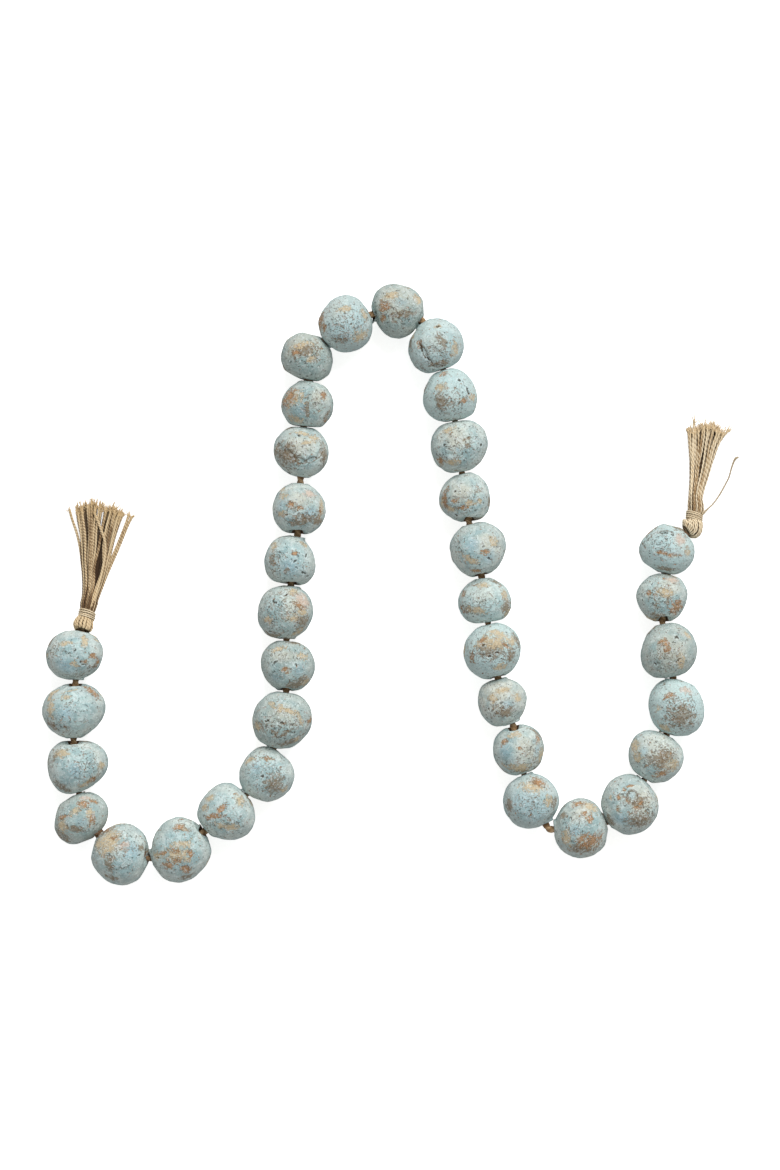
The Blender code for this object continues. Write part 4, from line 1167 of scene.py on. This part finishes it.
    def surface(self) -> Surface:
        """The bead's whole surface as one closed grid.

        Rows run from the first mouth over the skin to the second mouth, round that lip, back through
        the bore and round the first lip.

        Returns:
            The surface with its stains, and the value mouth, which is 1 in the bore.
        """
        skin, fields = self.skin(np.random.default_rng(100 + self.number))
        foot = np.array([0.0, 0.0, -self.middle[2]])
        skin = self.pressed(self.worn(skin), foot, -UP, 0.0, self.foot_softness)
        first = self.rounded_lip(skin, 0, self.bore)
        second = self.rounded_lip(skin, -1, -self.bore)
        share = np.linspace(0, 1, self.bore_rows + 2)[1:-1, None, None]
        wall = second[-1] * (1 - share) + first[-1] * share
        rows = np.concatenate([skin, second, wall, first[::-1]])
        bore_rows = ((0, len(rows) - self.along), (0, 0))
        values = {name: np.pad(value, bore_rows).ravel() for name, value in fields.items()}
        inside = np.pad(np.zeros(skin.shape[:2]), bore_rows, constant_values=1.0)
        to_end = np.minimum(*(np.linalg.norm(rows - end, axis=-1) for end in self.ends))
        values["mouth"] = np.maximum(inside, np.clip(1 - to_end / self.end_zone, 0, 1)).ravel()
        quads = grid_quads(len(rows), self.around, True)
        return Surface((rows + self.middle).reshape(-1, 3), quads, np.zeros((0, 3), int), values)

    def make(self, finish: Finish) -> None:
        """Build the bead over its solid."""
        self.surface().dress(f"bead_{self.number + 1:02d}", "glazed", "ceramic", finish)


@dataclass
class Tassel:
    """A jute tassel: a looped head, a bound neck and a skirt of cut strands."""
    side: Side
    stations: Rows
    head: Rows
    strays: Sequence[Rows]
    tips: Rows
    swirl: float
    parting: float
    parting_height: float
    parting_width: float
    seed: int
    strands: int = 43
    strand_radius: float = 0.86
    rings: int = 156
    head_loops: int = 16
    loop_radius: float = 0.9
    filling_sides: int = 16
    cut_swing: tuple[float, float] = (-1.7, 1.2)
    parting_length: float = 8.5
    parting_fade: float = 0.35
    fibres: int = 11
    skirt_shade: float = 1.0
    root_shade: float = 0.45
    root_reach: float = 22.0
    stray_shade: float = 0.3
    head_shade: float = 0.72
    open_end: float = 0.65
    whole_tip: float = 50.0         # a distance from cut ends at which yarn no longer looks frayed
    yarn: Yarn = Yarn(lay_length=3.6, groove=0.22, sides=8)
    wisp: Yarn = Yarn(lay_length=6.0, groove=0.2, sides=4)

    def skirt_paths(self, rng: np.random.Generator) -> tuple[np.ndarray, np.ndarray, np.ndarray]:
        """The centre line, radius and outward way of each strand of the skirt.

        Formula: a strand lies at the point (u, v) of a sunflower on the bundle's section. On the way
        to the tips u goes over to its rank from -1 to 1, with a drift that lets neighbours cross, so
        the bundle spreads flat. Beside the parting p it also moves away by e^(-|u - p| / fade) times a
        bell along the bundle, and a sine sideways makes it waver.

        Args:
            rng: the seeded source of cuts, drifts, waves and thicknesses.

        Returns:
            Paths as strands x rings x 3, radii as strands x rings in mm, and outward ways as paths.
        """
        count = self.strands
        order = np.arange(count)
        reach = np.sqrt((order + 0.5) / count)
        round_u, v = reach * np.cos(order * GOLDEN_TURN), (reach * np.sin(order * GOLDEN_TURN))[:, None]
        flat_u = (np.argsort(np.argsort(round_u)) + 0.5) / count * 2 - 1
        tips = np.array(self.tips)
        cut = np.interp(flat_u, tips[:, 0], tips[:, 1]) + rng.uniform(*self.cut_swing, count)
        line = through(laid(self.stations), 200)
        start, end = line[0, 1], line[-1, 1]
        share = np.linspace(0, 1, self.rings)[None, :]
        height = start + share * (cut[:, None] - start)
        x, z, width, tall = (np.interp(height, line[:, 1], line[:, column]) for column in (0, 2, 3, 4))
        spread = smoothstep(0.2, 0.7, (height - start) / (end - start))
        drift = rng.normal(0, 0.045, (count, 1)) * smoothstep(0.3, 1.0, share)
        u = round_u[:, None] * (1 - spread) + (0.85 * flat_u + 0.15 * round_u)[:, None] * spread + drift
        apart = (flat_u - self.parting)[:, None]
        beyond = (height - self.parting_height) / self.parting_length
        bell = np.exp(-beyond ** 2) * smoothstep(-0.45, 0.1, v)
        parted = self.parting_width * bell * np.where(apart > 0, 1.0, -1.0)
        u = u + parted * np.exp(-np.abs(apart) / self.parting_fade)
        u = np.clip(u * 1.07, -1.03, 1.03)
        free = smoothstep(0.15, 0.9, share)
        waver = free * rng.uniform(0.1, 0.45, (count, 1)) * np.sin(
            2 * pi * height / rng.uniform(22, 40, (count, 1)) + rng.uniform(0, 2 * pi, (count, 1)))
        thick = self.strand_radius * (0.8 + 0.2 * smoothstep(0.1, 0.4, share))
        thick = thick * rng.uniform(0.88, 1.1, (count, 1))
        slant, drop = (np.interp(height, line[:, 1], np.gradient(line[:, column], line[:, 1]))
                       for column in (0, 2))
        across = 1 / np.sqrt(1 + slant ** 2)
        sideways = u * (width / 2 - thick) + waver
        upwards = v * (tall / 2 - thick)
        back = sideways * slant * across * (1 - spread)
        paths = np.stack([x + sideways * across, height - back - upwards * drop * (1 - spread),
                          np.maximum(z + upwards, thick + 0.05)], axis=-1)
        normal = np.stack([u / width, np.zeros_like(u), v / tall * np.ones_like(u)], axis=-1)
        outward = unit(normal) * smoothstep(0.1, 0.7, np.hypot(u, v))[..., None]
        # the painted shade fades towards the cut ends, which lie open to the light
        open_end = self.open_end * smoothstep(20.0, 3.0, cut[:, None] - height)[..., None]
        return paths, thick, outward * (1 - open_end) + UP * open_end

    def head_paths(self, rng: np.random.Generator) -> tuple[np.ndarray, np.ndarray, np.ndarray]:
        """The loops of the head: meridians over its sections, turned by swirl on their way.

        Args:
            rng: the seeded source of places, thicknesses and bulges.

        Returns:
            Paths as loops x rings x 3, radii as loops x rings in mm, and outward ways as paths.
        """
        loops = self.head_loops
        sections = through(laid(self.head), 60)
        middle = sections[:, :3]
        side, above = square_to(unit(np.gradient(middle, axis=0)))
        share = np.linspace(0, 1, len(sections))[None, :]
        place = (np.arange(loops) + rng.uniform(-0.2, 0.2, loops))[:, None] * 2 * pi / loops
        angle = (place + self.swirl * share)[..., None]
        radius = self.loop_radius * rng.uniform(0.88, 1.12, (loops, 1)) * np.ones_like(share)
        bulge = 1 + 0.05 * rng.uniform(-1, 1, (loops, 1)) * np.sin(pi * share)
        wide, tall = (((sections[None, :, column] / 2 - radius) * bulge)[..., None] for column in (3, 4))
        across, up = np.cos(angle) * side[None], np.sin(angle) * above[None]
        return middle[None] + wide * across + tall * up, radius, unit(across + up)

    def filling(self) -> Surface:
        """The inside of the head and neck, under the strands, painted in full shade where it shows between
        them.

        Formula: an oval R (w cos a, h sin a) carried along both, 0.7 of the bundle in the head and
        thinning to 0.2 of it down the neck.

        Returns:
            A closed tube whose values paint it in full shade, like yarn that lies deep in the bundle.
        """
        sides = self.filling_sides
        head = through(laid(self.head)[::-1], 24)
        neck = through(laid(self.stations[1:-3]), 60)
        line = np.vstack([head, neck[1:]])
        share = np.concatenate([np.full(len(head), 0.7), np.linspace(0.7, 0.2, len(neck) - 1)])
        line[:, 3:] *= share[:, None]
        angle = np.arange(sides) * 2 * pi / sides
        side, above = square_to(unit(np.gradient(line[:, :3], axis=0)))
        skin = (line[:, None, :3] + (line[:, 3, None] / 2 * np.cos(angle))[..., None] * side[:, None]
                + (line[:, 4, None] / 2 * np.sin(angle))[..., None] * above[:, None])
        points = np.concatenate([skin.reshape(-1, 3), line[[0, -1], :3]])
        # shade 1 paints the core in full shade
        levels = {"ply": 0.0, "tone": 0.0, "tip": self.whole_tip, "shade": 1.0}
        values = {name: np.full(len(points), level) for name, level in levels.items()}
        return Surface(points, *tube_faces(len(line), sides), {**values, "lay": points})

    def frayed_ends(self, paths: np.ndarray, rng: np.random.Generator) -> Surface:
        """The fibres that spring from each cut end.

        Formula: a fibre runs from just inside the end along the strand's direction plus a random
        sideways part that grows with the square of its length.

        Args:
            paths: the strands' centre lines.
            rng: the seeded source of the fibres.

        Returns:
            The fibres, as thin yarn.
        """
        ends = np.repeat(paths[:, -1], self.fibres, axis=0)
        way = np.repeat(unit(paths[:, -1] - paths[:, -6]), self.fibres, axis=0)
        apart = rng.normal(size=ends.shape) * np.array([1.0, 1.0, 0.5])
        t = np.linspace(0, 1, 6)[None, :, None]
        long = rng.uniform(1.0, 3.2, (len(ends), 1, 1))
        runs = (ends[:, None] + apart[:, None] * 0.4 - way[:, None] * 0.8 + way[:, None] * long * t
                + apart[:, None] * long * 0.36 * t ** 2)
        runs[..., 2] = np.maximum(runs[..., 2], 0.4)
        radii = 0.4 * (1 - 0.6 * t[..., 0]) * rng.uniform(0.7, 1.2, (len(ends), 1))
        made = self.wisp.spin(runs, radii, rng)
        made.adjust("tip", 0.2)
        made.adjust("tone", 0.6, 0.4)
        return made

    def make(self, finish: Finish) -> None:
        """Build the strands, head loops, filling and frayed ends over the tassel's solid."""
        rng = np.random.default_rng(self.seed)
        skirt, skirt_radii, skirt_outward = self.skirt_paths(rng)
        strays = np.stack([through(laid(stray), self.rings) for stray in self.strays])
        # painted shade where each strand looks into the bundle
        strands = self.yarn.spin(skirt, skirt_radii, rng, outward=skirt_outward)
        strands.adjust("shade", self.skirt_shade)
        # painted shade: strands are darkened near their roots, where the bundle is gathered tight
        roots = smoothstep(self.root_reach, self.root_reach / 3, strands.values["root"])
        strands.adjust("tone", 1.0, -self.root_shade * roots)
        loose = self.yarn.spin(strays, np.full(strays.shape[:2], self.strand_radius * 0.95), rng)
        loose.adjust("tone", 1.0, -self.stray_shade)
        loops, loop_radii, loop_outward = self.head_paths(rng)
        # painted shade where each loop looks into the head
        looped = self.yarn.spin(loops, loop_radii, rng, loop_outward[:, 30], loop_outward)
        looped.adjust("tip", 1.0, self.whole_tip)
        looped.adjust("tone", 0.5, 0.5)
        looped.adjust("shade", self.head_shade)
        paths = np.concatenate([skirt, strays])
        whole = strands.joined(loose).joined(looped).joined(self.filling())
        whole = whole.joined(self.frayed_ends(paths, rng))
        name = f"tassel_{self.side.value}"
        whole.dress(name, "strands", "tassel", finish)
        log.info("%s: %d strands, %d faces", name, len(paths), len(whole.quads) + len(whole.triangles))


@dataclass
class Binding:
    """Thread wound round a tassel's neck, slanting a little from turn to turn."""
    side: Side
    low: Sequence[float]
    high: Sequence[float]
    wraps: float
    slant: float
    loose_end: Rows
    seed: int
    thread_radius: float = 0.56
    wound_radius: float = 4.5
    pitch: float = 1.14
    samples: int = 420
    loose_samples: int = 130
    loose_ply: float = 0.8
    loose_shade: float = 0.5
    tone: float = 0.55
    yarn: Yarn = Yarn(lay_length=3.4, groove=0.26, sides=8)

    def wound(self, rng: np.random.Generator) -> tuple[np.ndarray, np.ndarray, np.ndarray]:
        """The thread's middle round the neck.

        Formula: at turn angle a, the point is R (cos a, sin a) in the neck's cross plane, at
        pitch (a - total / 2) / (2 pi) along it plus slant cos(a), with an uneven ripple.

        Args:
            rng: the seeded source of the ripple.

        Returns:
            The points, their outward ways and the neck's own way.
        """
        low, high = np.array(self.low), np.array(self.high)
        axis = unit(high - low)
        side, above = square_to(axis)
        total = 2 * pi * self.wraps
        angle = np.linspace(0, total, self.samples)
        uneven = 0.1 * np.sin(angle * 0.7 + rng.uniform(0, 6))
        uneven = uneven + 0.06 * np.sin(angle * 1.9 + rng.uniform(0, 6))
        along = self.pitch * (angle - total / 2) / (2 * pi) + self.slant * np.cos(angle) + uneven
        reach = self.wound_radius + 0.1 * np.sin(angle * 1.3)
        outward = np.cos(angle)[:, None] * side + np.sin(angle)[:, None] * above
        return (low + high) / 2 + along[:, None] * axis + reach[:, None] * outward, outward, axis

    def make(self, finish: Finish) -> None:
        """Wind the thread and add its loose end, if it has one."""
        rng = np.random.default_rng(self.seed)
        line, outward, axis = self.wound(rng)
        radii = np.full((1, len(line)), self.thread_radius)
        # painted shade where the thread looks in towards the neck, between the wraps
        whole = self.yarn.spin(line[None], radii, rng, axis, outward[None])
        if self.loose_end:
            run = through(laid(self.loose_end), self.loose_samples)[None]
            loose = self.yarn.spin(run[..., :3], run[..., 3] * 0.5, rng, np.array([-0.6, 0.5, 0.2]))
            loose.adjust("ply", 0.0, self.loose_ply)
            loose.adjust("shade", 0.0, self.loose_shade)
            whole = whole.joined(loose)
        whole.adjust("tone", 0.0, self.tone)
        name = f"binding_{self.side.value}"
        whole.dress(name, "thread", "binding", finish)
        log.info("%s: %.1f turns", name, self.wraps)


@dataclass
class Studio:
    """A white floor, soft light from the upper right and a camera straight above."""
    sensor: float = 36.0
    floor_half: float = 2500.0
    sky: float = 0.43
    sun: float = 2.5
    sun_spread: float = 44.0
    sun_tilt: float = -48.0
    sun_turn: float = -20.0

    def make_camera(self) -> None:
        """Hang the camera so that the photograph's whole frame fits at the beads' middles.

        Formula: the lens is sensor x distance / the frame's long side, all in mm.
        """
        data = bpy.data.cameras.new("above")
        data.sensor_width = self.sensor
        data.lens = self.sensor * (CAMERA_HEIGHT - SUBJECT_HEIGHT) / (PHOTO_HIGH * MM_PER_PIXEL)
        data.clip_end = 20.0
        camera = bpy.data.objects.new("above", data)
        across = (PHOTO_WIDE / 2 - ORIGIN_ACROSS) * MM_PER_PIXEL
        up = (ORIGIN_DOWN - PHOTO_HIGH / 2) * MM_PER_PIXEL
        camera.location = (across * MM, up * MM, CAMERA_HEIGHT * MM)
        link(camera)
        bpy.context.scene.camera = camera

    def make_light(self) -> None:
        """A pale sky and one broad soft light."""
        world = bpy.data.worlds.new("studio")
        world.use_nodes = True
        ground = world.node_tree.nodes["Background"]
        ground.inputs["Color"].default_value = (1.0, 1.0, 1.0, 1.0)
        ground.inputs["Strength"].default_value = self.sky
        bpy.context.scene.world = world
        lamp = bpy.data.lights.new("softbox", "SUN")
        lamp.energy = self.sun
        lamp.angle = radians(self.sun_spread)
        light = bpy.data.objects.new("softbox", lamp)
        light.rotation_euler = (radians(self.sun_tilt), 0.0, radians(self.sun_turn))
        link(light)
        bpy.context.scene.view_settings.view_transform = "Standard"

    def make_floor(self, finish: Finish) -> None:
        """A plain pale floor under the garland."""
        half = self.floor_half
        corners = np.array([[-half, -half, 0.0], [half, -half, 0.0], [half, half, 0.0], [-half, half, 0.0]])
        mesh = bpy.data.meshes.new("floor")
        mesh.from_pydata((corners * MM).tolist(), [], [(0, 1, 2, 3)])
        mesh.materials.append(finish)
        floor = bpy.data.objects.new("floor", mesh)
        link(floor)
        floor.visible_diffuse = False


def main() -> None:
    """Make the camera and the cord first, then every other piece."""
    logging.basicConfig(level=logging.INFO, format="%(name)s: %(message)s")
    studio = Studio()
    studio.make_camera()
    route = Route()
    twine = Jute("cord_jute", gap=linear(70, 52, 36), dark=linear(136, 106, 74), middle=linear(196, 162, 122),
                 light=linear(228, 200, 160), tip=linear(196, 168, 128), ply_groove_shade=0.45)
    StringingCord(route).make(twine.material())

    glaze = ChalkGlaze().material()
    for number in range(len(BEADS)):
        CeramicBead(number, route).make(glaze)
    log.info("beads: %d", len(BEADS))

    brown = Jute("left_jute", gap=linear(60, 43, 30), dark=linear(108, 82, 56), middle=linear(178, 147, 107),
                 light=linear(230, 206, 166), tip=linear(212, 184, 138), ply_groove_shade=0.25)
    straw = Jute("right_jute", gap=linear(76, 53, 33), dark=linear(152, 119, 81),
                 middle=linear(215, 188, 145), light=linear(249, 231, 198), tip=linear(224, 199, 158),
                 ply_groove_shade=0.45)
    Tassel(Side.LEFT, LEFT_STATIONS, LEFT_HEAD, LEFT_STRAYS,
           tips=((-1.0, 41.2), (-0.7, 44.4), (-0.3, 46.4), (0.1, 44.0), (0.5, 43.4), (1.0, 40.6)),
           swirl=0.2, parting=0.3, parting_height=9.5, parting_width=0.3, seed=11,
           loop_radius=1.02).make(brown.material())
    Tassel(Side.RIGHT, RIGHT_STATIONS, RIGHT_HEAD, RIGHT_STRAYS,
           tips=((-1.0, 88.2), (-0.5, 89.2), (-0.05, 91.0), (0.4, 90.2), (0.75, 88.4), (1.0, 85.2)),
           swirl=1.0, parting=-0.05, parting_height=68.0, parting_width=0.12, seed=23,
           strands=48, strand_radius=0.74, head_loops=24, loop_radius=0.64, skirt_shade=1.15,
           root_shade=0.12, root_reach=26.0, stray_shade=0.0, head_shade=0.85,
           yarn=Yarn(lay_length=5.4, groove=0.28, sides=8)).make(straw.material())

    wound = Jute("wound_jute", gap=linear(88, 66, 44), dark=linear(150, 120, 84),
                 middle=linear(208, 184, 144), light=linear(238, 220, 188), tip=linear(236, 216, 176),
                 ply_groove_shade=0.3).material()
    Binding(Side.LEFT, (-176.0, -20.4, 12.5), (-174.7, -14.7, 11.1), wraps=3.6, slant=-0.15,
            loose_end=(), seed=31).make(wound)
    Binding(Side.RIGHT, (175.2, 36.4, 12.5), (176.0, 42.2, 11.2), wraps=4.1, slant=-0.6,
            loose_end=LOOSE_END, seed=37).make(wound)

    studio.make_light()
    studio.make_floor(Paper().material())


if __name__ == "__main__":
    main()
